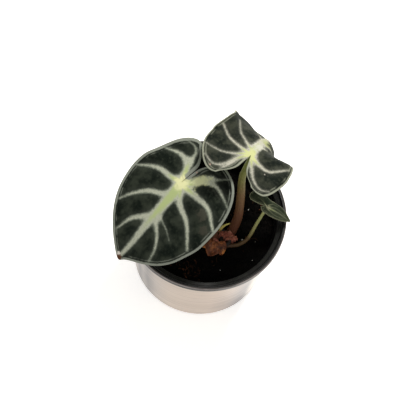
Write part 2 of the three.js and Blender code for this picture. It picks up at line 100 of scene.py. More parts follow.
def add_lamp(name, azimuth, elevation, distance, size, power, colour):
    data = bpy.data.lights.new(name, "AREA")
    data.shape = "DISK"
    data.size = size
    data.energy = power
    data.color = colour
    lamp = bpy.data.objects.new(name, data)
    tilt = Matrix.Rotation(math.radians(90 - elevation), 4, "Y")
    turn = Matrix.Rotation(math.radians(azimuth), 4, "Z") @ tilt
    lamp.matrix_world = Matrix.Translation((0, 0, LAMP_AIM)) @ turn @ Matrix.Translation((0, 0, distance))
    bpy.context.scene.collection.objects.link(lamp)


add_lamp("key_lamp", 70, 52, 0.9, 0.25, KEY_POWER, (1, 0.98, 0.94))
add_lamp("fill_lamp", -100, 45, 1.0, 0.7, FILL_POWER, (1, 0.97, 0.95))

FLOOR_HALF = 1.5
floor_mesh = bpy.data.meshes.new("floor")
floor_corners = [(-FLOOR_HALF, -FLOOR_HALF, 0), (FLOOR_HALF, -FLOOR_HALF, 0)]
floor_corners += [(FLOOR_HALF, FLOOR_HALF, 0), (-FLOOR_HALF, FLOOR_HALF, 0)]
floor_mesh.from_pydata(floor_corners, [], [(0, 1, 2, 3)])
floor = bpy.data.objects.new("floor", floor_mesh)
bpy.context.scene.collection.objects.link(floor)
print("lamps and floor are in place")

# %% [markdown]
# ## Writing nodes as Python
#
# A finish is a tree of nodes. Drawing it by hand is slow to read in a script, so two small classes do
# the wiring. `Nodes.add` makes any node from its type, its settings and its sockets. `Wire` stands for
# one output, and sums on it add Math nodes, so a mask can be written as `1 - mask`.

# %% Node helpers
class Nodes:
    """A node tree. add() makes one node and hands back one of its outputs as a Wire."""

    def __init__(self, tree):
        self.tree = tree

    def add(self, kind, settings=None, sockets=None, output=0):
        node = self.tree.nodes.new(kind)
        for key, value in (settings or {}).items():
            if key == "stops":
                self.set_stops(node.color_ramp, value)
            else:
                setattr(node, key, value)
        for key, value in (sockets or {}).items():
            if isinstance(value, Wire):
                self.tree.links.new(value.socket, node.inputs[key])
            else:
                node.inputs[key].default_value = value
        return Wire(self, node.outputs[output]) if len(node.outputs) else None

    def set_stops(self, ramp, stops):
        while len(ramp.elements) < len(stops):
            ramp.elements.new(1)
        for element, (position, colour) in zip(ramp.elements, stops):
            element.position = position
            element.color = colour


class Wire:
    """One output socket, with the sums that the finishes need."""

    def __init__(self, nodes, socket):
        self.nodes = nodes
        self.socket = socket

    def math(self, operation, *values):
        return self.nodes.add("ShaderNodeMath", {"operation": operation}, dict(enumerate(values)))

    def __add__(self, other):
        return self.math("ADD", self, other)

    __radd__ = __add__

    def __mul__(self, other):
        return self.math("MULTIPLY", self, other)

    __rmul__ = __mul__

    def __sub__(self, other):
        return self.math("SUBTRACT", self, other)

    def __rsub__(self, other):
        return self.math("SUBTRACT", other, self)

    def __truediv__(self, other):
        return self.math("DIVIDE", self, other)

    def __pow__(self, other):
        return self.math("POWER", self, other)

    def fade(self, start, end):
        """0 at start, 1 at end, with a soft step between."""
        settings = {"interpolation_type": "SMOOTHSTEP"}
        return self.nodes.add("ShaderNodeMapRange", settings, {0: self, 1: start, 2: end, 3: 0, 4: 1})


def rgb(red, green, blue):
    return (red, green, blue, 1)


def mixed(nodes, share, first, second):
    sockets = {0: share, 6: first, 7: second}
    return nodes.add("ShaderNodeMix", {"data_type": "RGBA"}, sockets, 2)


def layered(nodes, colour, layers):
    """Lays colours over one another, each through its own mask."""
    for mask, over in layers:
        colour = mixed(nodes, mask, colour, over)
    return colour


def clouds(nodes, place, scale, detail=3, roughness=0.5):
    sockets = {"Vector": place, "Scale": scale, "Detail": detail, "Roughness": roughness}
    return nodes.add("ShaderNodeTexNoise", None, sockets)


def stretched(nodes, place, scale):
    return nodes.add("ShaderNodeVectorMath", {"operation": "MULTIPLY"}, {0: place, 1: scale})


def along_axis(nodes, place, axis):
    return nodes.add("ShaderNodeSeparateXYZ", None, {0: place}, axis)


def object_place(nodes):
    return nodes.add("ShaderNodeTexCoord", None, None, "Object")


def mesh_value(nodes, name, output="Fac"):
    return nodes.add("ShaderNodeAttribute", {"attribute_name": name}, None, output)


def dabbed(nodes, colour, place, wobble, dabs, soft=0.3):
    """Dabs of other colours, each given by its middle, its radius and its colour."""
    for middle, radius, dab in dabs:
        away = nodes.add("ShaderNodeVectorMath", {"operation": "DISTANCE"}, {0: place, 1: middle}, "Value")
        share = (away + (wobble - 0.5) * (2.4 * radius)).fade(radius, (1 - soft) * radius)
        colour = mixed(nodes, share, colour, dab)
    return colour


def new_finish(name):
    material = bpy.data.materials.new(name)
    material.use_nodes = True
    material.node_tree.nodes.clear()
    return material, Nodes(material.node_tree)


def close_finish(nodes, colour, roughness, height, depth, **uniform):
    """Ends a finish with its shader. height feeds a bump that is depth millimetres deep."""
    bump = nodes.add("ShaderNodeBump", None, {"Strength": 1, "Distance": depth * MM, "Height": height})
    sockets = {"Base Color": colour, "Roughness": roughness, "Normal": bump, **uniform}
    shader = nodes.add("ShaderNodeBsdfPrincipled", None, sockets)
    nodes.add("ShaderNodeOutputMaterial", None, {"Surface": shader})


floor_finish, nodes = new_finish("white_sheet")
grain = clouds(nodes, object_place(nodes), 300)
sheet_colour = mixed(nodes, grain, rgb(0.9, 0.89, 0.87), rgb(0.93, 0.92, 0.9))
glow = {"Emission Color": rgb(1, 1, 1), "Emission Strength": SHEET_GLOW}
close_finish(nodes, sheet_colour, 0.9, grain, 0.05, **glow)
floor.data.materials.append(floor_finish)
print("floor finish has", len(nodes.tree.nodes), "nodes")

# %% [markdown]
# ## Making meshes
#
# Most pieces here follow a rule: a leaf bends from its stalk, a pot is turned round an axis, a scale is a
# bent sheet. Such shapes are easiest to work out as arrays of points and then hand to Blender as one
# mesh. Every sheet has two faces and a closed edge, so that it is a solid and not a film.

# %% Mesh helpers
CORNER_HOLD = 1.5
CURVE_STEPS = 40


def new_piece(name, points, faces, values=None):
    """A smooth-shaded piece from points in millimetres. values are stored on its points by name."""
    mesh = bpy.data.meshes.new(name)
    mesh.from_pydata((np.asarray(points, float) * MM).tolist(), [], faces)
    mesh.polygons.foreach_set("use_smooth", [True] * len(mesh.polygons))
    for key, numbers in (values or {}).items():
        numbers = np.asarray(numbers, np.float32)
        if numbers.ndim == 1:
            mesh.attributes.new(key, "FLOAT", "POINT").data.foreach_set("value", numbers)
        else:
            mesh.attributes.new(key, "FLOAT_VECTOR", "POINT").data.foreach_set("vector", numbers.ravel())
    mesh.validate()
    piece = bpy.data.objects.new(name, mesh)
    bpy.context.scene.collection.objects.link(piece)
    return piece


def finish_piece(piece, material, replaced=()):
    """Gives a piece its finish and its body, and hides the CAD nodes it stands for."""
    piece.data.materials.clear()
    piece.data.materials.append(material)
    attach(piece, "root")
    if replaced:
        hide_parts(*replaced)
    triangles = sum(len(face.vertices) - 2 for face in piece.data.polygons)
    print(piece.name, "has", triangles, "triangles")


def joined_parts(parts):
    """Several (points, faces) as one."""
    points, faces = [], []
    for part_points, part_faces in parts:
        start = len(points)
        points.extend(np.asarray(part_points).tolist())
        faces.extend([[start + corner for corner in face] for face in part_faces])
    return points, faces


def closed_sheet(upper, lower):
    """Two grids of points become one closed sheet."""
    rows, columns = upper.shape[:2]
    points = np.concatenate([upper.reshape(-1, 3), lower.reshape(-1, 3)])
    below = rows * columns
    at = np.arange(below).reshape(rows, columns)
    faces = []
    for i in range(rows - 1):
        for j in range(columns - 1):
            a, b, c, d = at[i, j], at[i, j + 1], at[i + 1, j + 1], at[i + 1, j]
            faces.append([a, b, c, d])
            faces.append([d + below, c + below, b + below, a + below])
    rim = [at[0, j] for j in range(columns - 1)] + [at[i, -1] for i in range(rows - 1)]
    rim += [at[-1, j] for j in range(columns - 1, 0, -1)] + [at[i, 0] for i in range(rows - 1, 0, -1)]
    for a, b in zip(rim, rim[1:] + rim[:1]):
        faces.append([b, a, a + below, b + below])
    return points, [[int(corner) for corner in face] for face in faces]


def lathe(profile, segments):
    """Turns (radius, height) points round Z. A radius of 0 is one point on the axis."""
    turn = np.linspace(0, 2 * math.pi, segments, endpoint=False)
    points, rings = [], []
    for radius, height in profile:
        if radius == 0:
            rings.append([len(points)] * segments)
            points.append((0, 0, height))
        else:
            rings.append(list(range(len(points), len(points) + segments)))
            points.extend(zip(radius * np.cos(turn), radius * np.sin(turn), [height] * segments))
    faces = []
    for low, high in zip(rings, rings[1:]):
        for j in range(segments):
            k = (j + 1) % segments
            corners = [low[j], low[k], high[k], high[j]]
            faces.append(list(dict.fromkeys(corners)))
    return points, faces


def softened(profile, radius, steps=3):
    """Rounds the corners of a profile, with a point on either side that holds the flat faces flat."""
    points = [np.array(point, float) for point in profile]
    result = [points[0]]
    for before, corner, after in zip(points, points[1:], points[2:]):
        back, ahead = before - corner, after - corner
        cut = min(radius, 0.3 * np.linalg.norm(back), 0.3 * np.linalg.norm(ahead))
        back, ahead = back / np.linalg.norm(back) * cut, ahead / np.linalg.norm(ahead) * cut
        result.append(corner + back * CORNER_HOLD)
        for t in np.linspace(0, 1, steps + 1):
            result.append(corner + back * (1 - t) ** 2 + ahead * t**2)
        result.append(corner + ahead * CORNER_HOLD)
    result.append(points[-1])
    return [tuple(point) for point in result]


def path_through(knots, count):
    """Points along a smooth curve through the knots, evenly spread."""
    knots = np.array(knots, float)
    knots = np.concatenate([[2 * knots[0] - knots[1]], knots, [2 * knots[-1] - knots[-2]]])
    times = np.concatenate([[0], np.cumsum(np.linalg.norm(np.diff(knots, axis=0), axis=1) ** 0.5)])
    curve = []
    for i in range(1, len(knots) - 2):
        t0, t1, t2, t3 = times[i - 1 : i + 3]
        p0, p1, p2, p3 = knots[i - 1 : i + 3]
        leave = ((p1 - p0) / (t1 - t0) - (p2 - p0) / (t2 - t0) + (p2 - p1) / (t2 - t1)) * (t2 - t1)
        arrive = ((p2 - p1) / (t2 - t1) - (p3 - p1) / (t3 - t1) + (p3 - p2) / (t3 - t2)) * (t2 - t1)
        for t in np.linspace(0, 1, CURVE_STEPS, endpoint=i == len(knots) - 3):
            a, b = 2 * t**3 - 3 * t**2, t**3 - t**2
            curve.append(p1 * (1 + a) - p2 * a + leave * (b - t**2 + t) + arrive * b)
    curve = np.array(curve)
    run = np.concatenate([[0], np.cumsum(np.linalg.norm(np.diff(curve, axis=0), axis=1))])
    even = np.linspace(0, run[-1], count)
    return np.stack([np.interp(even, run, curve[:, axis]) for axis in range(curve.shape[1])], 1)


def rumple(points, scale, seed=0.0):
    """Soft noise between -1 and 1 at each point. scale is the size of the bumps in millimetres."""
    shift = Vector((seed * 13.7, seed * 7.1, seed * 3.3))
    flat = np.asarray(points, float).reshape(-1, 3) / scale
    return np.array([noise.noise(Vector(point) + shift) for point in flat])


print("mesh helpers are ready")

# %% [markdown]
# ## How a leaf is bent
#
# A real blade grows flat and then droops from the point where its stalk meets it. So each leaf is listed
# as a flat outline, a distance from that point in each direction, and a droop for each direction that
# says how tightly the blade bends down. The model's solid follows the same rule, so the fine blade lies
# close over it. Relief is how deep the veins and swellings are beside those of the large leaf.

# %% Leaf shapes
LARGE_LEAF = {
    "sinus": (-18.5, 0.9, 110),
    "heading": -124,
    "pitch": -20,
    "roll": 2,
    "margin": [
        (-165.5, 27.2), (-156, 29.2), (-134, 28.5), (-117, 27.9), (-101, 28.6), (-88, 31.2),
        (-72, 34.6), (-55, 38.7), (-37, 44.8), (-22, 51.4), (-10, 58), (-4, 62), (0, 64),
        (3, 61.4), (8, 59), (17, 56.4), (25, 54.2), (34, 51), (44, 47), (56, 43.6), (69, 39.8),
        (84, 37), (99, 35.5), (113, 34.4), (127, 32.8), (140, 30.4), (150, 28.2), (157, 25.8),
    ],
    "slit": (-187.5, 169.5),
    "droop": [(0, 0.006), (60, 0.005), (150, 0.004), (210, 0.004), (300, 0.005)],
    "wave": 0.5,
    "relief": 1,
    "rays": 150,
    "steps": 66,
}

MEDIUM_LEAF = {
    "sinus": (20.4, 19.9, 126),
    "heading": 65,
    "pitch": -6,
    "roll": -2,
    "margin": [
        (-147, 22), (-138, 26.4), (-130, 28.6), (-111, 28), (-97, 28), (-82, 27.6), (-66, 28.2),
        (-50, 32), (-35, 37), (-25, 41), (-16, 43.6), (-7, 46.6), (0, 50), (7, 46.6), (16, 44),
        (25, 42), (34, 40), (42, 38.4), (43.8, 38.8), (45.4, 41.4), (47.6, 37.4), (50, 35.4),
        (53, 34), (62, 32.5), (76, 32.3), (85, 31.3), (102, 31), (119, 30.1), (136, 29.1),
        (146, 27.6), (154, 24.8),
    ],
    "slit": (-163, 170),
    "droop": [
        (0, 0.033), (10, 0.033), (20, 0.03), (34, 0.02), (43, 0.012), (52, 0.004), (60, 0.005),
        (75, 0.008), (100, 0.006), (160, 0.006), (200, 0.008), (250, 0.006), (285, 0.008),
        (300, 0.02), (312, 0.042), (330, 0.054), (347, 0.042),
    ],
    "wave": 0.4,
    "relief": 1,
    "rays": 140,
    "steps": 56,
}

SMALL_LEAF = {
    "sinus": (37.8, 7.1, 84),
    "heading": -12,
    "pitch": -18,
    "roll": 0,
    "margin": [
        (-160, 4.4), (-120, 4.4), (-90, 4.4), (-67, 4.7), (-42, 6.8), (-24, 9.8), (-12, 13.8),
        (-4, 17.2), (0, 19), (5, 17.4), (10, 15.6), (20, 13.2), (33, 10.6), (52, 7.6), (79, 6.2),
        (110, 7.6), (135, 11), (150, 13.2), (163, 14), (174, 13.4), (182, 11.6),
    ],
    "slit": (-168, 186),
    "droop": [(0, 0.01), (90, 0.04), (150, 0.02), (210, 0.02), (270, 0.05)],
    "wave": 0.2,
    "relief": 0.45,
    "rays": 90,
    "steps": 28,
}

RAY_CROWDING = 1.15
RIPPLES = 7
TURN_SPAN = 70
TURN_START = 0.4


def smooth_value(pairs, x):
    """A smooth value between listed (position, value) pairs, flat beyond the ends."""
    place, value = np.array(pairs, float).T
    last = len(place) - 1
    before = np.maximum(np.arange(last + 1) - 1, 0)
    after = np.minimum(np.arange(last + 1) + 1, last)
    slope = (value[after] - value[before]) / (place[after] - place[before])
    x = np.clip(x, place[0], place[last])
    i = np.clip(np.searchsorted(place, x, side="right") - 1, 0, last - 1)
    span = place[i + 1] - place[i]
    t = (x - place[i]) / span
    a, b = 2 * t**3 - 3 * t**2, t**3 - t**2
    return value[i] * (1 + a) - value[i + 1] * a + span * (slope[i] * (b - t**2 + t) + slope[i + 1] * b)


def round_value(pairs, degrees):
    before = [(place - 360, value) for place, value in pairs[-2:]]
    after = [(place + 360, value) for place, value in pairs[:2]]
    return smooth_value(before + pairs + after, np.mod(degrees, 360))


def ease(x):
    t = np.clip(x, 0, 1)
    return t * t * (3 - 2 * t)


def leaf_axes(leaf):
    """The leaf's forward, left and up directions, as the columns of a matrix."""
    turn = [math.radians(angle) for angle in (leaf["roll"], -leaf["pitch"], leaf["heading"])]
    return np.array(Euler(turn, "XYZ").to_matrix())


def blade_point(leaf, degrees, distance):
    angle = np.radians(degrees)
    droop = round_value(leaf["droop"], degrees)
    out = np.sin(droop * distance) / droop
    down = (1 - np.cos(droop * distance)) / droop
    reach = smooth_value(leaf["margin"], degrees)
    ripple = leaf["wave"] * np.sin(angle * RIPPLES) * (distance / reach) ** 3
    local = np.stack([out * np.cos(angle), out * np.sin(angle), ripple - down], -1)
    return np.array(leaf["sinus"]) + local @ leaf_axes(leaf).T


def blade_normal(leaf, degrees, distance):
    step = np.minimum(distance, 1) / 2 + 1e-4
    along = blade_point(leaf, degrees, distance + step) - blade_point(leaf, degrees, distance - step)
    across = blade_point(leaf, degrees + 1, distance) - blade_point(leaf, degrees - 1, distance)
    normal = np.cross(along, across)
    length = np.linalg.norm(normal, axis=-1, keepdims=True)
    up = np.broadcast_to(leaf_axes(leaf)[:, 2], normal.shape)
    return np.where(length > 1e-7, normal / np.maximum(length, 1e-12), up)


print("large leaf is", LARGE_LEAF["margin"][12][1], "mm from its sinus to its tip")

# %% [markdown]
# ## Veins
#
# The silver veins make this plant. Each one is a short list of points on the flat blade, from where it
# leaves the midrib to the margin, with its half width at its foot, middle and end. The last number says
# how far from the sinus the yellow-green of the junction still shows in it. For every point of the blade
# two numbers are worked out: how far it is outside the nearest vein's edge, and how much yellow-green it
# takes.

# %% Vein paths
LARGE_VEINS = [
    ([(0, 0.4), (11, 1), (30, 0.5), (50, 0.4), (60, -0.6)], (4.2, 2.9, 1.5), 44),
    ([(0.6, -2), (1.9, -8.4), (2.4, -16), (5.4, -23), (10.6, -30.4)], (2.3, 1.6, 0.5), 12),
    ([(7, 0.6), (12, -2.8), (17.7, -12.6), (27, -20.6), (34, -24.8)], (2.2, 1.5, 0.6), 14),
    ([(28, -0.4), (32.4, -5.1), (38, -10), (49.5, -13.8)], (2.2, 1.5, 0.4), 30),
    ([(20, 0.8), (29, 4.6), (35, 10.6), (42, 14.9), (50.5, 16.8)], (2, 1.2, 0.5), 22),
    ([(25, 4.6), (27.7, 11.8), (32, 18.6)], (0.4, 0.2, 0.05), 20),
    ([(3, 1.4), (10.6, 8.5), (16.2, 19.3), (28.6, 31)], (2.4, 1.6, 0.8), 13),
    ([(1, 3), (0.6, 14.4), (1.2, 23.6), (9.4, 35.4)], (2.6, 1.6, 0.8), 14),
    ([(0, 0), (-4.5, 5.8), (-9.4, 9), (-13.5, 12.8)], (2.7, 2.8, 2.2), 18),
    ([(-13, 13), (-17.4, 17.6), (-22, 22.2)], (0.6, 0.25, 0.1), 15),
    ([(-10.5, 11.5), (-12, 20), (-7, 33)], (1.5, 0.9, 0.3), 15),
    ([(0, 0), (-7.3, -3), (-12.4, -5.2)], (2.8, 2.4, 2.3), 16),
    ([(-12.4, -4.8), (-19.6, -6.2), (-22.4, -10), (-22, -15.4)], (1.5, 0.6, 0.2), 14),
    ([(-12, -6), (-12.8, -13.5), (-9.4, -23.4)], (2, 1.3, 0.4), 14),
]

MEDIUM_VEINS = [
    ([(0, 0), (8, 1), (20, 0.8), (46, 0)], (3.2, 2.2, 1.4), 16),
    ([(6, 1), (10.5, -1.6), (12.6, -5.4)], (1.6, 0.9, 0.4), 10),
    ([(0.6, 2.6), (1.4, 9), (3.6, 17.7), (11, 27.4)], (1.4, 0.9, 0.6), 11),
    ([(-0.6, 3), (-5, 9.1), (-8.2, 17), (-8, 28.4)], (1.2, 0.7, 0.4), 11),
    ([(0, 0.6), (-5.5, 4.7), (-13.8, 9.3), (-18.1, 15.2), (-15.1, 24)], (1.7, 0.9, 0.4), 13),
    ([(-9.6, 6.4), (-14.2, 7.7), (-18.6, 10)], (0.8, 0.7, 0.4), 12),
    ([(4, 2), (7.2, 8.3), (11, 14.4), (21, 21.4)], (1.2, 0.7, 0.4), 11),
    ([(18, 1), (25, 8), (33, 16)], (0.7, 0.5, 0.4), 10),
    ([(28, 0.5), (35, 5), (40, 9)], (1, 0.8, 0.5), 10),
    ([(28, 0.2), (35, -5), (39, -9)], (1, 0.8, 0.5), 10),
    ([(14, -1), (22, -10), (27, -20)], (1, 0.8, 0.5), 10),
    ([(-0.6, -1), (-2.8, -7.6), (-3, -15), (6.6, -24)], (1.9, 1.1, 0.7), 11),
    ([(-1, -1), (-7.3, -5.1), (-13.4, -10.5), (-16.3, -17), (-14, -22.6)], (1.7, 1, 0.4), 11),
]

SMALL_VEINS = [
    ([(0, 0), (9, 0.4), (18, 0)], (0.8, 0.5, 0.3), 9),
    ([(1, 0.9), (6, 2.4), (13.5, 1.5)], (0.4, 0.25, 0.15), 4),
    ([(1, -0.9), (6, -2.1), (13.5, -1.3)], (0.4, 0.25, 0.15), 4),
    ([(0.4, 1.6), (3, 4), (7, 4.4)], (0.35, 0.25, 0.15), 4),
    ([(0, 0), (-4.4, 2.6), (-7.6, 3.6)], (0.6, 0.35, 0.2), 5),
]

VEIN_POINTS = 20
WEB = 1.15


def vein_fields(veins, x, y, size):
    """How far each flat point is outside the nearest vein, and its share of the yellow-green.

    Where veins part, their distances are blended over WEB millimetres, which webs the forks.
    """
    near = np.zeros(x.shape)
    warm = np.zeros(x.shape)
    from_sinus = np.hypot(x, y)
    for knots, halves, glow in veins:
        line = path_through(knots, VEIN_POINTS)
        steps = np.diff(line, axis=0)
        share = np.linspace(0, 1, VEIN_POINTS)
        gap = np.full(x.shape, np.inf)
        for (ax, ay), (dx, dy), start in zip(line, steps, share):
            t = np.clip(((x - ax) * dx + (y - ay) * dy) / (dx**2 + dy**2), 0, 1)
            away = np.hypot(x - ax - t * dx, y - ay - t * dy)
            half = np.interp(start + t * share[1], (0, 0.5, 1), halves)
            gap = np.minimum(gap, away - half)
            core = np.clip(1 - away / half, 0, 1) * np.clip(1 - from_sinus / glow, 0, 1)
            warm = np.maximum(warm, core)
        near += np.exp(-gap / (WEB * size))
    return -WEB * size * np.log(near + 1e-30), warm


print("veins on the large leaf:", len(LARGE_VEINS))

# %% [markdown]
# ## Blades
#
# A blade is a fan of rays from its sinus. Near the slit the rays swing inwards, so that the two lobes end
# round. The veins lie in shallow channels, the tissue between them swells, and the underside carries the
# veins as ribs. At the margin the two faces meet in a round edge, made by a few close rows of points.
# A subdivided plane could be pushed into this shape too, but the rule keeps every vein where it grows.

# %% Blades
BLADE_HALF = 0.42
EDGE_HALF = 0.32
EDGE_INSETS = (0.7, 0.42, 0.2, 0.06, 0.0)
SIDE_ANGLES = (0.0, 0.25, 0.7, 1.4, 2.4)
CHANNEL = 0.42
RIB = 0.8
SWELL = 0.5
SWELL_REACH = 5
UNDER_SHARE = 0.6
VEIN_INSIDE = 0.8
VEIN_STEP = 1.8
LUMPS = 0.16
LUMP_SIZES = (5, 2.2)
CALM_EDGE = 4
CALM_SIDE = 8


def ray_directions(leaf):
    first, last = leaf["margin"][0][0], leaf["margin"][-1][0]
    share = np.arange(-leaf["rays"], leaf["rays"] + 1) / leaf["rays"]
    directions = np.where(share < 0, first, last) * np.abs(share) ** RAY_CROWDING
    margin = SIDE_ANGLES[-1] + 0.4
    inner = directions[(directions > first + margin) & (directions < last - margin)]
    starts = [first + angle for angle in SIDE_ANGLES]
    ends = [last - angle for angle in reversed(SIDE_ANGLES)]
    return np.concatenate([starts, inner, ends])


def swung_direction(leaf, degrees, part):
    side = degrees < 0
    lobe = np.where(side, leaf["margin"][0][0], leaf["margin"][-1][0])
    slit = np.where(side, leaf["slit"][0], leaf["slit"][1])
    share = ease((np.abs(degrees) - np.abs(lobe)) / TURN_SPAN + 1)
    swing = 1 - ease((part - TURN_START) / (1 - TURN_START))
    return degrees + (slit - lobe) * share * swing


def round_edge(inset, width):
    return np.sqrt(np.clip(1 - (1 - np.clip(inset / width, 0, 1)) ** 2, 0, 1))


def make_blade(name, leaf, veins):
    directions = ray_directions(leaf)
    reach = smooth_value(leaf["margin"], directions)
    main = np.linspace(0, 1, leaf["steps"] + 1)[None, :] * (reach[:, None] - EDGE_INSETS[0])
    edge = reach[:, None] - np.array(EDGE_INSETS[1:])[None, :]
    distance = np.concatenate([main, edge], 1)
    part = distance / reach[:, None]
    ray = np.repeat(directions[:, None], distance.shape[1], 1)
    turned = swung_direction(leaf, ray, part)
    middle = blade_point(leaf, turned, distance)
    normal = blade_normal(leaf, turned, distance)
    normal[:, 0] = leaf_axes(leaf)[:, 2]
    angle = np.radians(turned)
    x, y = distance * np.cos(angle), distance * np.sin(angle)
    size = leaf["relief"]
    gap, warm = vein_fields(veins, x, y, size)
    inset = reach[:, None] - distance
    from_side = np.minimum(ray - directions[0], directions[-1] - ray)
    thin = round_edge(inset, EDGE_INSETS[0]) * round_edge(from_side, SIDE_ANGLES[-1])
    half = (BLADE_HALF + (EDGE_HALF - BLADE_HALF) * part**4) * thin
    calm = ease(inset / (CALM_EDGE * size)) * ease(from_side / CALM_SIDE)
    vein = 1 - ease((gap + VEIN_INSIDE * size) / (VEIN_STEP * size))
    swell = ease(gap / (SWELL_REACH * size))
    flat = np.stack([x, y, np.zeros_like(x)], -1)
    lumps = rumple(flat, LUMP_SIZES[0] * size, 1) + 0.5 * rumple(flat, LUMP_SIZES[1] * size, 2)
    uneven = lumps.reshape(x.shape)
    lift = (SWELL * swell - CHANNEL * vein + LUMPS * uneven * swell) * calm * size
    upper = middle + normal * (half + lift)[..., None]
    lower = middle - normal * (half - lift * UNDER_SHARE + RIB * size * vein * calm)[..., None]
    from_slit = distance * np.radians(from_side) + np.maximum(0, 5 * size - distance)
    margin = np.minimum(inset, from_slit)
    return blade_mesh(name, upper, lower, {"vein": gap, "warm": warm, "inset": margin, "flat": flat})


def blade_mesh(name, upper, lower, fields):
    """The two faces share their points along the margin and the slit, and have one each at the sinus."""
    rows, columns = upper.shape[:2]
    top = np.zeros((rows, columns), int)
    top[:, 1:] = 1 + np.arange(rows * (columns - 1)).reshape(rows, columns - 1)
    count = 1 + rows * (columns - 1)
    under = top.copy()
    inner = np.zeros((rows, columns), bool)
    inner[1:-1, 1:-1] = True
    under[inner] = count + 1 + np.arange(inner.sum())
    under[:, 0] = count
    points = np.concatenate([upper[:1, 0], upper[:, 1:].reshape(-1, 3), lower[:1, 0], lower[inner]])
    faces = []
    for i in range(rows - 1):
        faces.append([top[i, 0], top[i, 1], top[i + 1, 1]])
        faces.append([under[i, 0], under[i + 1, 1], under[i, 1]])
        for j in range(1, columns - 1):
            faces.append([top[i, j], top[i, j + 1], top[i + 1, j + 1], top[i + 1, j]])
            faces.append([under[i + 1, j], under[i + 1, j + 1], under[i, j + 1], under[i, j]])
    faces.append([top[0, 0], under[0, 0], top[0, 1]])
    faces.append([top[-1, 0], top[-1, 1], under[-1, 0]])
    values = {}
    for key, field in fields.items():
        above = field[:, 1:].reshape(-1, *field.shape[2:])
        values[key] = np.concatenate([field[:1, 0], above, field[:1, 0], field[inner]])
    values["under"] = np.concatenate([np.zeros(count), np.ones(1 + inner.sum())])
    return new_piece(name, points, [[int(corner) for corner in face] for face in faces], values)


large_blade = make_blade("large_blade", LARGE_LEAF, LARGE_VEINS)
medium_blade = make_blade("medium_blade", MEDIUM_LEAF, MEDIUM_VEINS)
small_blade = make_blade("small_blade", SMALL_LEAF, SMALL_VEINS)
print("blades made")

# %% [markdown]
# ## The velvet finish
#
# The upper face is nearly black-green and soft as velvet, with silver round the veins, a yellow-green
# heart and a pale margin. All of it follows the blade, so the finish reads the numbers stored on the
# mesh and only breaks their edges up with noise. A photo of a leaf could be laid on instead, but it would
# bring its own light with it. Velvet has hardly any gloss, so the finish is rough, with a fine bump for
# the nap. The underside is plain pale green.

# %% Leaf finish
def leaf_finish(name, look):
    material, nodes = new_finish(name)
    place = mesh_value(nodes, "flat", "Vector")
    size = look["size"]
    broad = clouds(nodes, place, 0.11, 3, 0.55)
    middling = clouds(nodes, place, 0.45, 4, 0.65)
    fine = clouds(nodes, place, 1.3, 4, 0.65)
    grain = clouds(nodes, place, 6, 2)
    inset = mesh_value(nodes, "inset")
    gap = mesh_value(nodes, "vein")
    ragged = gap + (fine - 0.5) * (1.2 * size) + (middling - 0.5) * (1.5 * size)
    silver = ragged.fade(0.9 * size, -0.8 * size)
    halo = ragged.fade(4 * size, 0.4) * look["halo"]
    tissue = mixed(nodes, broad.fade(0.4, 0.66), look["dark"], look["mottle"])
    tissue = mixed(nodes, middling.fade(0.5, 0.72) * 0.8, tissue, look["mottle"])
    tissue = mixed(nodes, grain.fade(0.58, 0.78) * 0.55, tissue, look["fleck"])
    # The shades dabs carry painted shadow and painted glare on the large leaf, and a greener patch on the
    # medium one.
    tissue = dabbed(nodes, tissue, place, middling, look["shades"], 0.6)
    tissue = mixed(nodes, halo, tissue, look["silver"])
    bright = (gap + (middling - 0.5) * (2.4 * size)).fade(0.2 * size, -1.3 * size)
    vein_colour = mixed(nodes, bright, look["silver"], look["bright"])
    vein_colour = mixed(nodes, fine.fade(0.45, 0.65) * 0.55, vein_colour, look["silver"])
    from_sinus = nodes.add("ShaderNodeVectorMath", {"operation": "LENGTH"}, {0: place}, "Value")
    core = (mesh_value(nodes, "warm") + (middling - 0.5) * 0.4).fade(0.04, 0.45)
    heart = (from_sinus + (middling - 0.5) * (9 * size)).fade(7.5 * size, 2.5 * size)
    green = mixed(nodes, heart, look["green"], look["heart"])
    vein_colour = mixed(nodes, core, vein_colour, green)
    vein_colour = dabbed(nodes, vein_colour, place, middling, look["tints"], 0.8)
    upper = mixed(nodes, silver * look["strength"], tissue, vein_colour)
    across = along_axis(nodes, place, "Y")
    width = across.fade(14, -14) * look["lean"] + look["border"]
    inside = inset + (middling - 0.5) * (1.1 * size) - width
    border = inside.fade(0.5 * size, -0.4 * size)
    line = inside.fade(0.8 * size, 1.2 * size) * inside.fade(2 * size, 1.5 * size)
    upper = mixed(nodes, line * broad.fade(0.4, 0.6) * 0.45, upper, look["margin"])
    upper = mixed(nodes, border * 0.95, upper, look["margin"])
    upper = dabbed(nodes, upper, place, fine, look["spots"])
    under_veins = gap.fade(0.9 * size, -0.4 * size)
    under = mixed(nodes, broad, look["under"], look["under_mottle"])
    under = mixed(nodes, under_veins, under, look["under_vein"])
    colour = mixed(nodes, mesh_value(nodes, "under").fade(0.4, 0.6), upper, under)
    height = fine * 0.5 + grain * 0.5
    close_finish(
        nodes, colour, 0.55 + silver * 0.1, height, 0.2 * size,
        **{"Specular IOR Level": 0.03},
    )
    return material


print("the leaf finish is ready")
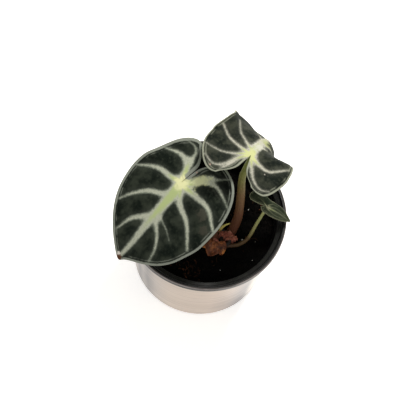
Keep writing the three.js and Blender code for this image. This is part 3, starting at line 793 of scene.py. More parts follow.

# %% [markdown]
# ## Leaf colours
#
# The three leaves share one finish and differ in size and colour, so each has a look of named values and
# the younger two start from the large one's. Shades, tints and spots are dabs at a place on the flat
# blade: darker and greyer patches in the tissue, greener parts of the veins, the dry brown tip with a pale
# speck beside it, and specks of dust. The near-black patch on the large leaf's right lobe is painted shadow
# that the medium leaf casts, and the grey patches are a painted reflection, a faint glare. Both are paint
# and don't move with the light.

# %% Leaf colours
DRY_BROWN = rgb(0.07, 0.03, 0.015)
# A pale speck beside the large leaf's dry tip.
PALE_TIP_SPECK = rgb(0.5, 0.47, 0.42)
PINK_DUST = rgb(0.42, 0.3, 0.24)
# Near-black: painted shadow that the medium leaf casts on the large leaf's right lobe.
LOBE_SHADOW_BLACK = rgb(0.0012, 0.002, 0.0012)
# Grey: a painted reflection, the faint glare on the large leaf.
GLARE_GREY = rgb(0.034, 0.034, 0.025)
large_look = {
    "size": 1.0,
    "dark": rgb(0.004, 0.0065, 0.0045),
    "mottle": rgb(0.021, 0.0255, 0.018),
    "fleck": rgb(0.09, 0.1, 0.076),
    "silver": rgb(0.155, 0.172, 0.136),
    "bright": rgb(0.38, 0.395, 0.31),
    "green": rgb(0.34, 0.4, 0.18),
    "heart": rgb(0.62, 0.62, 0.34),
    "margin": rgb(0.2, 0.215, 0.18),
    "under": rgb(0.16, 0.2, 0.11),
    "under_mottle": rgb(0.2, 0.25, 0.15),
    "under_vein": rgb(0.32, 0.36, 0.22),
    "halo": 0.06,
    "strength": 0.95,
    "border": 1.45,
    "lean": 0.8,
    "shades": [
        ((-17, 21, 0), 13, LOBE_SHADOW_BLACK),
        ((6, 24, 0), 5, GLARE_GREY),
        ((13, 31, 0), 4, GLARE_GREY),
    ],
    "tints": [((-8, 8, 0), 9, rgb(0.54, 0.56, 0.32))],
    "spots": [
        ((63.2, -1.2, 0), 3.2, DRY_BROWN),
        ((60.6, -2.6, 0), 1.3, PALE_TIP_SPECK),
        ((-10.8, 3.2, 0), 0.6, PINK_DUST),
    ],
}
medium_look = {
    **large_look,
    "mottle": rgb(0.03, 0.033, 0.023),
    "silver": rgb(0.17, 0.172, 0.14),
    "bright": rgb(0.4, 0.388, 0.32),
    "green": rgb(0.33, 0.365, 0.18),
    "heart": rgb(0.47, 0.49, 0.23),
    "margin": rgb(0.25, 0.26, 0.2),
    "border": 1.0,
    "lean": 0,
    "shades": [((20.5, -1, 0), 4, rgb(0.15, 0.16, 0.075))],
    "tints": [
        ((9, -1, 0), 6, rgb(0.44, 0.44, 0.36)),
        ((19, -1.5, 0), 5, rgb(0.3, 0.32, 0.15)),
    ],
    "spots": [
        ((28.4, 28.8, 0), 3, rgb(0.4, 0.385, 0.3)),
        ((-6.4, -14.1, 0), 0.6, rgb(0.2, 0.19, 0.16)),
        ((-20, 16.7, 0), 0.7, rgb(0.26, 0.19, 0.15)),
    ],
}
small_look = {
    **large_look,
    "size": 0.5,
    "dark": rgb(0.008, 0.013, 0.007),
    "mottle": rgb(0.027, 0.033, 0.018),
    "silver": rgb(0.048, 0.056, 0.034),
    "bright": rgb(0.1, 0.105, 0.068),
    "green": rgb(0.15, 0.17, 0.08),
    "heart": rgb(0.24, 0.235, 0.15),
    "margin": rgb(0.17, 0.175, 0.11),
    "border": 0.35,
    "lean": 0.3,
    "shades": [],
    "tints": [],
    "spots": [],
}
finish_piece(large_blade, leaf_finish("velvet_large", large_look), ["large_leaf"])
finish_piece(medium_blade, leaf_finish("velvet_medium", medium_look), ["medium_leaf"])
finish_piece(small_blade, leaf_finish("velvet_small", small_look), ["small_leaf"])

# %% [markdown]
# ## Stalks from Geometry Nodes
#
# A stalk is a round section that follows a path and thins on its way up. That is a rule, so a node tree
# makes it: the path comes in as a curve, its radius is set from the share of the way along, and Curve
# to Mesh sweeps a circle. The share is stored too, because the stalk's colour changes on the way up.

# %% Stalk tree
STALKS = {
    "large_stalk": ([(8.8, -12, 60), (4.6, -9.6, 76), (-4, -5.4, 91), (-12.4, -2.4, 101)], 3.2, 1.9),
    "medium_stalk": ([(17.6, -7.6, 60.5), (20.6, -0.8, 76), (19.6, 7.2, 94), (18.2, 13.6, 108.5)], 3.3, 1.7),
    "small_stalk": (
        [(17.4, -15.4, 61.8), (24.4, -13.6, 63.2), (29.4, -9.4, 64.8), (34.2, 1.2, 72)], 1.3, 0.9,
    ),
    "yellow_shoot": ([(11, -7.4, 60.5), (11, -6.8, 66.5), (13.2, -4.8, 69.4), (16.4, -3.2, 71)], 1.4, 0.35),
}
STALK_TAPER = 1.3
STALK_SEAT = 0.7
PATH_POINTS = 70
STALK_SIDES = 28


def new_tree(name, inputs):
    """A geometry tree with named inputs, given as (name, socket type, value)."""
    tree = bpy.data.node_groups.new(name, "GeometryNodeTree")
    tree.interface.new_socket("Geometry", in_out="INPUT", socket_type="NodeSocketGeometry")
    tree.interface.new_socket("Geometry", in_out="OUTPUT", socket_type="NodeSocketGeometry")
    for key, kind, value in inputs:
        socket = tree.interface.new_socket(key, in_out="INPUT", socket_type=kind)
        if value is not None:
            socket.default_value = value
    nodes = Nodes(tree)
    nodes.add("NodeGroupInput")
    source = tree.nodes[0]
    return nodes, {socket.name: Wire(nodes, socket) for socket in source.outputs if socket.name}


def run_tree(nodes, host, settings, material):
    """Runs a tree on an object and keeps the result as a plain mesh."""
    modifier = host.modifiers.new("tree", "NODES")
    modifier.node_group = nodes.tree
    for item in nodes.tree.interface.items_tree:
        if item.in_out == "INPUT" and item.name in settings:
            modifier[item.identifier] = settings[item.name]
    depsgraph = bpy.context.evaluated_depsgraph_get()
    result = bpy.data.meshes.new_from_object(host.evaluated_get(depsgraph))
    host.modifiers.remove(modifier)
    result.materials.clear()
    result.materials.append(material)
    host.data = result
    result.name = host.name
    return host


def end_tree(nodes, geometry, material):
    whole = nodes.add("GeometryNodeRealizeInstances", None, {0: geometry})
    coloured = nodes.add("GeometryNodeSetMaterial", None, {0: whole, "Material": material})
    nodes.add("NodeGroupOutput", None, {0: coloured})


def stalk_tree(material):
    inputs = [
        ("Path", "NodeSocketObject", None),
        ("Foot Radius", "NodeSocketFloat", 0.003),
        ("Neck Radius", "NodeSocketFloat", 0.002),
        ("Sides", "NodeSocketInt", STALK_SIDES),
    ]
    nodes, given = new_tree("stalk", inputs)
    path = nodes.add("GeometryNodeObjectInfo", None, {"Object": given["Path"]}, "Geometry")
    share = nodes.add("GeometryNodeSplineParameter", None, None, "Factor")
    radius = given["Foot Radius"] + (given["Neck Radius"] - given["Foot Radius"]) * share**STALK_TAPER
    path = nodes.add(
        "GeometryNodeStoreNamedAttribute", {"data_type": "FLOAT", "domain": "POINT"},
        {0: path, "Name": "along", "Value": share},
    )
    path = nodes.add("GeometryNodeSetCurveRadius", None, {0: path, "Radius": radius})
    round_section = {"Resolution": given["Sides"], "Radius": 1.0}
    circle = nodes.add("GeometryNodeCurvePrimitiveCircle", None, round_section)
    tube = nodes.add("GeometryNodeCurveToMesh", None, {0: path, 1: circle, "Fill Caps": True})
    if "Scale" in [socket.name for socket in tube.socket.node.inputs]:
        tube.nodes.tree.links.new(radius.socket, tube.socket.node.inputs["Scale"])
    smooth = nodes.add("GeometryNodeSetShadeSmooth", None, {0: tube})
    end_tree(nodes, smooth, material)
    return nodes


def path_object(name, points):
    curve = bpy.data.curves.new(name, "CURVE")
    curve.dimensions = "3D"
    spline = curve.splines.new("POLY")
    spline.points.add(len(points) - 1)
    spline.points.foreach_set("co", np.c_[points * MM, np.ones(len(points))].ravel())
    path = bpy.data.objects.new(name, curve)
    bpy.context.scene.collection.objects.link(path)
    return path


print("stalks to make:", list(STALKS))

# %% [markdown]
# ## Stalk finish
#
# The stalks are smooth and slightly wet-looking, with fine lines along them. The two old ones go from
# pinkish brown at the foot to olive green under the blade. The young one is brown at the foot and pale
# yellow-green above. A colour ramp on the stored share gives the change.

# %% Stalk finishes
def stalk_finish(name, stops, roughness):
    material, nodes = new_finish(name)
    place = object_place(nodes)
    streaks = clouds(nodes, stretched(nodes, place, (1800, 1800, 90)), 1, 3)
    blotches = clouds(nodes, place, 160, 3)
    share = mesh_value(nodes, "along") + (blotches - 0.5) * 0.12
    base = nodes.add("ShaderNodeValToRGB", {"stops": stops}, {0: share})
    darker = nodes.add("ShaderNodeVectorMath", {"operation": "MULTIPLY"}, {0: base, 1: (0.55, 0.5, 0.5)})
    colour = mixed(nodes, streaks.fade(0.35, 0.65) * 0.5 + blotches.fade(0.5, 0.7) * 0.3, base, darker)
    flesh = {
        "Subsurface Weight": 0.05,
        "Subsurface Radius": (0.002, 0.001, 0.0005),
        "Specular IOR Level": 0.15,
    }
    close_finish(nodes, colour, roughness + streaks * 0.15, streaks, 0.12, **flesh)
    return material


old_stops = [
    (0.0, rgb(0.085, 0.03, 0.018)),
    (0.3, rgb(0.12, 0.052, 0.026)),
    (0.55, rgb(0.17, 0.1, 0.038)),
    (0.75, rgb(0.175, 0.18, 0.05)),
    (1.0, rgb(0.15, 0.19, 0.045)),
]
young_stops = [
    (0.0, rgb(0.06, 0.03, 0.016)),
    (0.35, rgb(0.11, 0.07, 0.03)),
    (0.5, rgb(0.3, 0.28, 0.11)),
    (0.8, rgb(0.42, 0.45, 0.18)),
    (1.0, rgb(0.55, 0.52, 0.28)),
]
shoot_stops = [(0.0, rgb(0.3, 0.22, 0.08)), (0.5, rgb(0.5, 0.42, 0.12)), (1.0, rgb(0.62, 0.55, 0.16))]
old_stalk_skin = stalk_finish("old_stalk_skin", old_stops, 0.38)
young_stalk_skin = stalk_finish("young_stalk_skin", young_stops, 0.4)
shoot_skin = stalk_finish("shoot_skin", shoot_stops, 0.45)


def swept(name, points, foot, neck, sides, skin):
    path = path_object(name + "_path", points)
    host = new_piece(name, [(0, 0, 0)], [])
    settings = {"Path": path, "Foot Radius": foot * MM, "Neck Radius": neck * MM, "Sides": sides}
    run_tree(stalk_tree(skin), host, settings, skin)
    bpy.data.objects.remove(path)
    return host


def make_stalk(name, skin, leaf=None):
    knots, foot, neck = STALKS[name]
    if leaf is not None:
        ahead = np.array(STALK_SEAT * foot)
        seat = blade_point(leaf, np.array(0.0), ahead)
        normal = blade_normal(leaf, np.array(0.0), ahead)
        knots = knots + [tuple(seat - normal * (1.7 + neck * 1.6)), tuple(seat - normal * 0.3)]
    return swept(name, path_through(knots, PATH_POINTS), foot, neck, STALK_SIDES, skin)


large_stalk = make_stalk("large_stalk", old_stalk_skin, LARGE_LEAF)
medium_stalk = make_stalk("medium_stalk", old_stalk_skin, MEDIUM_LEAF)
small_stalk = make_stalk("small_stalk", young_stalk_skin, SMALL_LEAF)
yellow_shoot = make_stalk("yellow_shoot", shoot_skin)
finish_piece(large_stalk, old_stalk_skin, ["large_petiole"])
finish_piece(medium_stalk, old_stalk_skin, ["medium_petiole"])
finish_piece(small_stalk, young_stalk_skin, ["small_petiole"])
finish_piece(yellow_shoot, shoot_skin, ["shoot_tip"])

# %% [markdown]
# ## The pots
#
# Both pots are turned shapes, so each is one profile turned round the axis with enough segments to look
# round. The black pot's lip has a small bead on either side of a groove, which catches the light as two
# fine lines, and the finish adds painted highlights on the lip's outer edge and bead. Small round corners
# do more for a moulded look than any finish.

# %% Pots
POT_SEGMENTS = 200

NURSERY_PROFILE = [
    (0, 5), (38, 5), (47.4, 65.5), (48.1, 66.4), (48.1, 71), (51.4, 71), (52, 70.4), (52, 70),
    (53, 70), (53, 73.2), (52.5, 73.9), (52.1, 74), (51.8, 73.6), (51.5, 73.6), (51.2, 74),
    (50.8, 73.9), (50.5, 73.2), (50, 72), (47.1, 71.2), (47.1, 67.1), (46.4, 66), (37.1, 6), (0, 6),
]
STEEL_PROFILE = [
    (0, 0), (42.7, 0), (44.8, 0.9), (45.85, 3), (49.15, 69.8), (49.2, 70.3), (48.9, 70.6),
    (48.5, 70.5), (48.3, 70), (45.05, 3), (44, 1.7), (41.9, 0.8), (0, 0.8),
]
DRAIN_COUNT = 6
DRAIN_RING = 27
DRAIN_RADIUS = 4

nursery_shell = new_piece("nursery_shell", *lathe(softened(NURSERY_PROFILE, 0.35), POT_SEGMENTS))
steel_shell = new_piece("steel_shell", *lathe(softened(STEEL_PROFILE, 0.4), POT_SEGMENTS))


def drill_drain_holes(pot):
    drills = []
    for i in range(DRAIN_COUNT):
        angle = 2 * math.pi * (i + 0.5) / DRAIN_COUNT
        rod, faces = lathe([(0, 3), (DRAIN_RADIUS, 3), (DRAIN_RADIUS, 8), (0, 8)], 24)
        shift = np.array((DRAIN_RING * math.cos(angle), DRAIN_RING * math.sin(angle), 0))
        drills.append((np.array(rod) + shift, faces))
    drill = new_piece("drill", *joined_parts(drills))
    cut = pot.modifiers.new("drain_holes", "BOOLEAN")
    cut.operation = "DIFFERENCE"
    cut.object = drill
    cut.solver = "EXACT"
    depsgraph = bpy.context.evaluated_depsgraph_get()
    pot.data = bpy.data.meshes.new_from_object(pot.evaluated_get(depsgraph))
    pot.modifiers.clear()
    bpy.data.objects.remove(drill)


drill_drain_holes(nursery_shell)
print("nursery pot has", len(nursery_shell.data.polygons), "faces")

# %% [markdown]
# ## Pot finishes
#
# The outer pot is thin steel with fine brush lines round it. Stretching noise flat and wide gives such
# lines, both in the gloss and as a faint relief. Steel also mirrors a room in soft upright bands. A lit
# room round the plant is the better way to get them. This studio is plain, so a ramp on the way round the
# pot stands in as a painted reflection, with its stops listed in degrees. It is paint: fixed to the pot,
# and chosen from one side. A dark band at the very foot is painted shade where the pot meets the floor.
# The black plastic is satin and scuffed. The pale line on the outer edge of its lip and a fainter ring
# inside it are painted highlights.

# %% Steel and plastic
# Painted reflection: lighter and darker upright bands round the steel, listed by azimuth in degrees.
STEEL_REFLECTION_BANDS = [
    (-180, rgb(0.4, 0.38, 0.36)), (-163, rgb(0.5, 0.46, 0.43)), (-152, rgb(0.42, 0.39, 0.37)),
    (-143, rgb(0.19, 0.185, 0.19)), (-137, rgb(0.38, 0.355, 0.335)), (-131, rgb(0.23, 0.22, 0.22)),
    (-122, rgb(0.46, 0.41, 0.37)), (-108, rgb(0.55, 0.465, 0.39)), (-72, rgb(0.56, 0.465, 0.39)),
    (-57, rgb(0.44, 0.37, 0.325)), (-47, rgb(0.25, 0.225, 0.22)), (-40, rgb(0.18, 0.175, 0.18)),
    (-33, rgb(0.5, 0.47, 0.44)), (-15, rgb(0.62, 0.58, 0.54)), (12, rgb(0.34, 0.325, 0.315)),
    (34, rgb(0.5, 0.47, 0.45)), (62, rgb(0.6, 0.56, 0.53)), (84, rgb(0.38, 0.36, 0.345)),
    (100, rgb(0.26, 0.25, 0.25)), (118, rgb(0.46, 0.435, 0.415)), (146, rgb(0.58, 0.54, 0.51)),
    (166, rgb(0.3, 0.29, 0.285)), (180, rgb(0.4, 0.38, 0.36)),
]
# Between these heights the steel's foot gets painted shade, where the pot meets the floor.
FOOT_SHADE_TOP = 0.0022
FOOT_SHADE_BOTTOM = 0.0008

brushed_steel, nodes = new_finish("brushed_steel")
place = object_place(nodes)
east = along_axis(nodes, place, "X")
north = along_axis(nodes, place, "Y")
height = along_axis(nodes, place, "Z")
columns = clouds(nodes, stretched(nodes, place, (60, 60, 2)), 1, 3)
share = north.math("ARCTAN2", north, east) / (2 * math.pi) + 0.5 + (columns - 0.5) * 0.012
reflection_stops = [((azimuth + 180) / 360, tone) for azimuth, tone in STEEL_REFLECTION_BANDS]
steel_colour = nodes.add("ShaderNodeValToRGB", {"stops": reflection_stops}, {0: share})
lines = clouds(nodes, stretched(nodes, place, (14, 14, 2600)), 1, 3, 0.6)
streaks = clouds(nodes, stretched(nodes, place, (16, 16, 1000)), 1, 3, 0.6)
bands = clouds(nodes, stretched(nodes, place, (9, 9, 420)), 1, 2)
smudges = clouds(nodes, place, 45, 4, 0.6)
steel_layers = [
    (lines.fade(0.5, 0.72) * 0.35, rgb(0.34, 0.27, 0.22)),
    (streaks.fade(0.5, 0.66) * 0.42, rgb(0.3, 0.26, 0.235)),
    (bands.fade(0.48, 0.62) * 0.22, rgb(0.64, 0.56, 0.49)),
    (smudges.fade(0.5, 0.75) * 0.2, rgb(0.38, 0.34, 0.31)),
    (height.fade(FOOT_SHADE_TOP, FOOT_SHADE_BOTTOM) * 0.55, rgb(0.13, 0.075, 0.06)),
]
steel_colour = layered(nodes, steel_colour, steel_layers)
close_finish(nodes, steel_colour, 0.24 + lines * 0.14 + smudges * 0.08, lines, 0.02, Metallic=1.0)

LIP_HIGHLIGHT_RADIUS = 0.05245
LIP_HIGHLIGHT_RING = 0.05215
LIP_TOP = 0.0728
black_plastic, nodes = new_finish("black_plastic")
place = object_place(nodes)
dust = clouds(nodes, place, 60, 5, 0.65)
scuffs = clouds(nodes, stretched(nodes, place, (700, 700, 60)), 1, 3)
grain = clouds(nodes, place, 1500, 2)
level = stretched(nodes, place, (1, 1, 0))
from_axis = nodes.add("ShaderNodeVectorMath", {"operation": "LENGTH"}, {0: level}, "Value")
plastic_colour = mixed(nodes, dust.fade(0.45, 0.8) * 0.5, rgb(0.003, 0.003, 0.003), rgb(0.02, 0.019, 0.017))
plastic_colour = mixed(nodes, scuffs.fade(0.6, 0.75) * 0.3, plastic_colour, rgb(0.04, 0.037, 0.034))
height = along_axis(nodes, place, "Z")
# Painted highlights: a pale line round the lip's outer top edge, broken up by the dust noise, and a fainter
# ring inside it.
lip = from_axis.fade(LIP_HIGHLIGHT_RADIUS, LIP_HIGHLIGHT_RADIUS + 0.0002) * height.fade(LIP_TOP, 0.0732)
edge = lip * (dust.fade(0.3, 0.6) * 0.5 + 0.4)
line = from_axis.fade(LIP_HIGHLIGHT_RING - 0.0003, LIP_HIGHLIGHT_RING) * from_axis.fade(LIP_HIGHLIGHT_RING + 0.0003, LIP_HIGHLIGHT_RING)
plastic_colour = mixed(nodes, edge + line * 0.2, plastic_colour, rgb(0.27, 0.235, 0.22))
plastic_height = grain * 0.6 + scuffs * 0.4
close_finish(nodes, plastic_colour, 0.24 + dust * 0.2, plastic_height, 0.04, **{"Specular IOR Level": 0.26})

finish_piece(steel_shell, brushed_steel, ["steel_pot"])
finish_piece(nursery_shell, black_plastic, ["nursery_pot"])

# %% [markdown]
# ## Ribs inside the pot
#
# The wall of the black pot has shallow upright ribs, which show between the soil and the lip. One rib
# repeated round a ring is work for a node tree: a mesh circle gives the places, and each copy is turned
# to face the middle.

# %% Pot ribs
RIB_COUNT = 36
RIB_RING = 47.0
RIB_FOOT = 57.5
RIB_HEIGHT = 8.5
RIB_DEPTH = 0.55
RIB_HALF_WIDTH = 0.55
RIB_ROUND = 0.18
RIB_BACK = 0.7


def rib_tree(material):
    inputs = [
        ("Count", "NodeSocketInt", RIB_COUNT),
        ("Ring Radius", "NodeSocketFloat", RIB_RING * MM),
    ]
    nodes, given = new_tree("pot_ribs", inputs)
    ring = nodes.add(
        "GeometryNodeMeshCircle", None, {"Vertices": given["Count"], "Radius": given["Ring Radius"]}
    )
    number = nodes.add("GeometryNodeInputIndex")
    turn = number / given["Count"] * (2 * math.pi)
    rotation = nodes.add("ShaderNodeCombineXYZ", None, {"Z": turn})
    ribs = nodes.add(
        "GeometryNodeInstanceOnPoints", None,
        {"Points": ring, "Instance": given["Geometry"], "Rotation": rotation},
    )
    end_tree(nodes, ribs, material)
    return nodes


def rib_shape():
    """One rib on the pot's +X side, with its back sunk in the wall and its foot in the soil."""
    rows = []
    for part in np.linspace(0, 1, 9):
        height = RIB_FOOT + RIB_HEIGHT * part
        proud = RIB_DEPTH * math.sin(math.pi * min(0.5 + 0.55 * part, 1.0))
        rows.append([(-proud - 0.3, side * RIB_HALF_WIDTH, height) for side in (-1, -0.5, 0, 0.5, 1)])
    upper = np.array(rows)
    upper[:, 1:4, 0] -= RIB_ROUND
    lower = upper.copy()
    lower[..., 0] = RIB_BACK
    return closed_sheet(upper, lower)


rib_host = new_piece("pot_ribs", *rib_shape())
rib_settings = {"Count": RIB_COUNT, "Ring Radius": RIB_RING * MM}
pot_ribs = run_tree(rib_tree(black_plastic), rib_host, rib_settings, black_plastic)
finish_piece(pot_ribs, black_plastic)

# %% [markdown]
# ## Potting mix
#
# The mix is dark peat with bark and coir in it. Its body is one closed form with a crumbly top, which
# stands for the model's soil. Over it lie loose crumbs, chips of bark, a few white grains and fibres.

# %% Soil body
SOIL_LEVEL = 60.5
SOIL_SHIFT = 7
SOIL_EDGE = 45.2
SOIL_BOTTOM = 6.6
SOIL_WALL = [(36, SOIL_BOTTOM), (44.8, 57.5)]
SOIL_SEGMENTS = 240
SOIL_RINGS = 84


def soil_height(x, y):
    broad = np.sin(x * 0.16 + SOIL_SHIFT) * np.cos(y * 0.19 - SOIL_SHIFT)
    fine = np.sin(x * 0.53 + y * 0.31 + SOIL_SHIFT) * np.sin(y * 0.53 - x * 0.31)
    return SOIL_LEVEL + 0.8 * broad + 0.65 * fine


def crumbly_height(x, y):
    flat = np.stack([x, y, np.zeros_like(x)], -1)
    lumps = rumple(flat, 4.5, 3).reshape(x.shape)
    crumbs = rumple(flat, 1.7, 4).reshape(x.shape)
    return soil_height(x, y) + 0.9 * lumps + 0.8 * np.maximum(crumbs, -0.3) - 0.2


def soil_body():
    segments, rings = SOIL_SEGMENTS, SOIL_RINGS
    turn = np.linspace(0, 2 * math.pi, segments, endpoint=False)
    points = [(0, 0, SOIL_BOTTOM)]
    for radius, height in SOIL_WALL:
        points += [(radius * math.cos(a), radius * math.sin(a), height) for a in turn]
    for i in range(rings, 0, -1):
        x, y = SOIL_EDGE * i / rings * np.cos(turn), SOIL_EDGE * i / rings * np.sin(turn)
        points += list(zip(x, y, crumbly_height(x, y)))
    points.append((0, 0, float(crumbly_height(np.array([0.0]), np.array([0.0]))[0])))
    faces = []
    total = len(SOIL_WALL) + rings
    for j in range(segments):
        k = (j + 1) % segments
        faces.append([0, 1 + k, 1 + j])
        for i in range(total - 1):
            low, high = 1 + i * segments, 1 + (i + 1) * segments
            faces.append([low + j, low + k, high + k, high + j])
        last = 1 + (total - 1) * segments
        faces.append([last + j, last + k, len(points) - 1])
    return points, faces


potting_mix = new_piece("potting_mix", *soil_body())
print("soil stands between", round(SOIL_LEVEL - 2), "and", round(SOIL_LEVEL + 2), "mm")

# %% [markdown]
# ## Soil finishes
#
# Peat, bark, white perlite and coir are all rough and grainy and differ only in colour. So one finish
# serves them all: broad patches, a fine grit that is also the bump, and a rare third colour in it.

# %% Soil finishes
def earth_finish(name, dark, light, rare, roughness):
    material, nodes = new_finish(name)
    place = object_place(nodes)
    patches = clouds(nodes, place, 120, 4, 0.6)
    grit = clouds(nodes, place, 900, 4, 0.7)
    colour = mixed(nodes, patches.fade(0.4, 0.7) * grit.fade(0.35, 0.65), dark, light)
    colour = mixed(nodes, grit.fade(0.62, 0.72) * patches.fade(0.5, 0.65), colour, rare)
    close_finish(nodes, colour, roughness, grit, 0.6, **{"Specular IOR Level": 0.04})
    return material


peat = earth_finish(
    "peat", rgb(0.0009, 0.0008, 0.0007), rgb(0.0035, 0.0024, 0.0018), rgb(0.012, 0.007, 0.004), 0.9,
)
bark = earth_finish("bark", rgb(0.014, 0.006, 0.003), rgb(0.1, 0.038, 0.018), rgb(0.26, 0.11, 0.055), 0.85)
perlite = earth_finish("perlite", rgb(0.4, 0.38, 0.34), rgb(0.75, 0.73, 0.7), rgb(0.85, 0.84, 0.82), 0.9)
coir = earth_finish("coir", rgb(0.03, 0.014, 0.007), rgb(0.09, 0.045, 0.02), rgb(0.16, 0.09, 0.045), 0.8)
finish_piece(potting_mix, peat, ["soil"])

# %% [markdown]
# ## Crumbs, chips and flakes
#
# Hundreds of loose bits lie on the mix. A node tree strews points over the top of the soil, puts a
# roughly shaped bit on each and turns and stretches it at random. The same tree serves for all of them
# with other sizes, because only its named inputs differ. Flakes lie in loose heaps, so each strewing has
# a round patch of soil as its ground.

# %% Strewn bits
def strewing_tree(material):
    inputs = [
        ("Density", "NodeSocketFloat", 1e5),
        ("Spacing", "NodeSocketFloat", 0.001),
        ("Seed", "NodeSocketInt", 1),
        ("Smallest", "NodeSocketVector", (0.001, 0.001, 0.001)),
        ("Largest", "NodeSocketVector", (0.002, 0.002, 0.002)),
        ("Tilt", "NodeSocketFloat", 3.0),
    ]
    nodes, given = new_tree("strewn_bits", inputs)
    spots = nodes.add(
        "GeometryNodeDistributePointsOnFaces", {"distribute_method": "POISSON"},
        {"Mesh": given["Geometry"], "Distance Min": given["Spacing"], "Density Max": given["Density"],
         "Seed": given["Seed"]},
    )
    bit = nodes.add("GeometryNodeMeshIcoSphere", None, {"Radius": 0.5, "Subdivisions": 2})
    place = nodes.add("GeometryNodeInputPosition")
    push = nodes.add("ShaderNodeTexNoise", None, {"Vector": place, "Scale": 2.4, "Detail": 2}, 1)
    push = nodes.add("ShaderNodeVectorMath", {"operation": "SUBTRACT"}, {0: push, 1: (0.5, 0.5, 0.5)})
    push = nodes.add("ShaderNodeVectorMath", {"operation": "SCALE"}, {0: push, "Scale": 0.9})
    bit = nodes.add("GeometryNodeSetPosition", None, {0: bit, "Offset": push})
    size = nodes.add(
        "FunctionNodeRandomValue", {"data_type": "FLOAT_VECTOR"},
        {0: given["Smallest"], 1: given["Largest"], "Seed": given["Seed"]},
    )
    widest = {"X": given["Tilt"], "Y": given["Tilt"], "Z": 2 * math.pi}
    most_turn = nodes.add("ShaderNodeCombineXYZ", None, widest)
    turn = nodes.add(
        "FunctionNodeRandomValue", {"data_type": "FLOAT_VECTOR"},
        {0: (0.0, 0.0, 0.0), 1: most_turn, "Seed": given["Seed"] + 7},
    )
    bits = nodes.add(
        "GeometryNodeInstanceOnPoints", None,
        {"Points": spots, "Instance": bit, "Rotation": turn, "Scale": size},
    )
    end_tree(nodes, bits, material)
    return nodes


GROUND_RINGS = 40
GROUND_SEGMENTS = 120


def soil_top(name, middle, reach):
    """The open top of the soil within reach of a middle, as the ground for strewing."""
    radii = np.linspace(1, reach, GROUND_RINGS)
    turn = np.linspace(0, 2 * math.pi, GROUND_SEGMENTS, endpoint=False)
    x = middle[0] + radii[:, None] * np.cos(turn)
    y = middle[1] + radii[:, None] * np.sin(turn)
    points = np.stack([x, y, crumbly_height(x, y)], -1).reshape(-1, 3)
    faces = []
    for i in range(GROUND_RINGS - 1):
        low, high = i * GROUND_SEGMENTS, (i + 1) * GROUND_SEGMENTS
        for j in range(GROUND_SEGMENTS):
            k = (j + 1) % GROUND_SEGMENTS
            faces.append([low + j, high + j, high + k, low + k])
    return new_piece(name, points, faces)


STREWN = {
    "peat_crumbs": (peat, 3.2e5, 0.0013, 3, (0.7, 0.7, 0.6), (2.2, 1.9, 1.5), 6.0, (0, 0), 43.5),
    "bark_chips": (bark, 6e3, 0.006, 5, (1, 0.7, 0.5), (3.2, 1.8, 1), 0.7, (0, 0), 43.5),
    "front_flakes": (bark, 3e5, 0.0016, 8, (1, 0.6, 0.4), (4.4, 2.2, 0.9), 0.7, (-4, -35.4), 7.4),
    "left_flakes": (bark, 2e5, 0.0018, 12, (1, 0.6, 0.4), (3.6, 1.8, 0.8), 0.7, (-15, -33), 4),
    "back_flakes": (bark, 3e5, 0.0016, 9, (1, 0.6, 0.4), (3, 1.7, 0.8), 0.7, (38, 18), 5),
}
for name, (material, density, spacing, seed, least, most, tilt, middle, reach) in STREWN.items():
    settings = {
        "Density": density, "Spacing": spacing, "Seed": seed, "Tilt": tilt,
        "Smallest": [side * MM for side in least], "Largest": [side * MM for side in most],
    }
    strewn = run_tree(strewing_tree(material), soil_top(name, middle, reach), settings, material)
    finish_piece(strewn, material)

# %% [markdown]
# ## White grains and fibres
#
# White grains are few and catch the eye, so they are listed by place and width. Each is a small turned
# ball, roughened with noise and half sunk in the crumbs. The fibres are thin curls of coir on the soil.
# The stalks' tree sweeps them too, with only six sides, because nothing this thin needs more.

# %% White grains and fibres
WHITE_GRAINS = [
    (26.5, -9.2, 1.4), (15.9, -32.5, 0.6), (35.4, -8.5, 0.5), (35.4, -21.8, 0.5), (27.3, 13.4, 0.9),
    (-22, 24, 0.8), (4, 33, 0.6), (-33, -6, 0.8),
]
FIBRE_COUNT = 18
FIBRE_RADIUS = 0.16
FIBRE_SPREAD = 38
FIBRE_POINTS = 26
FIBRE_CURL = ((-5, 0.8), (-2, -0.7), (2, 0.9), (5, -0.6))


def grain_shape(x, y, width):
    """A small puffed grain, half sunk in the crumbs."""
    profile = [(width / 2 * math.sin(a), -width / 2 * math.cos(a)) for a in np.linspace(0, math.pi, 8)]
    profile[0], profile[-1] = (0, -width / 2), (0, width / 2)
    points, faces = lathe(profile, 10)
    points = np.array(points)
    points *= (1 + 0.35 * rumple(points + (x, y, 0), 0.8, 31))[:, None]
    top = float(crumbly_height(np.array([float(x)]), np.array([float(y)]))[0])
    return points + (x, y, top + 0.5), faces


white_grains = new_piece("white_grains", *joined_parts([grain_shape(*grain) for grain in WHITE_GRAINS]))
finish_piece(white_grains, perlite)

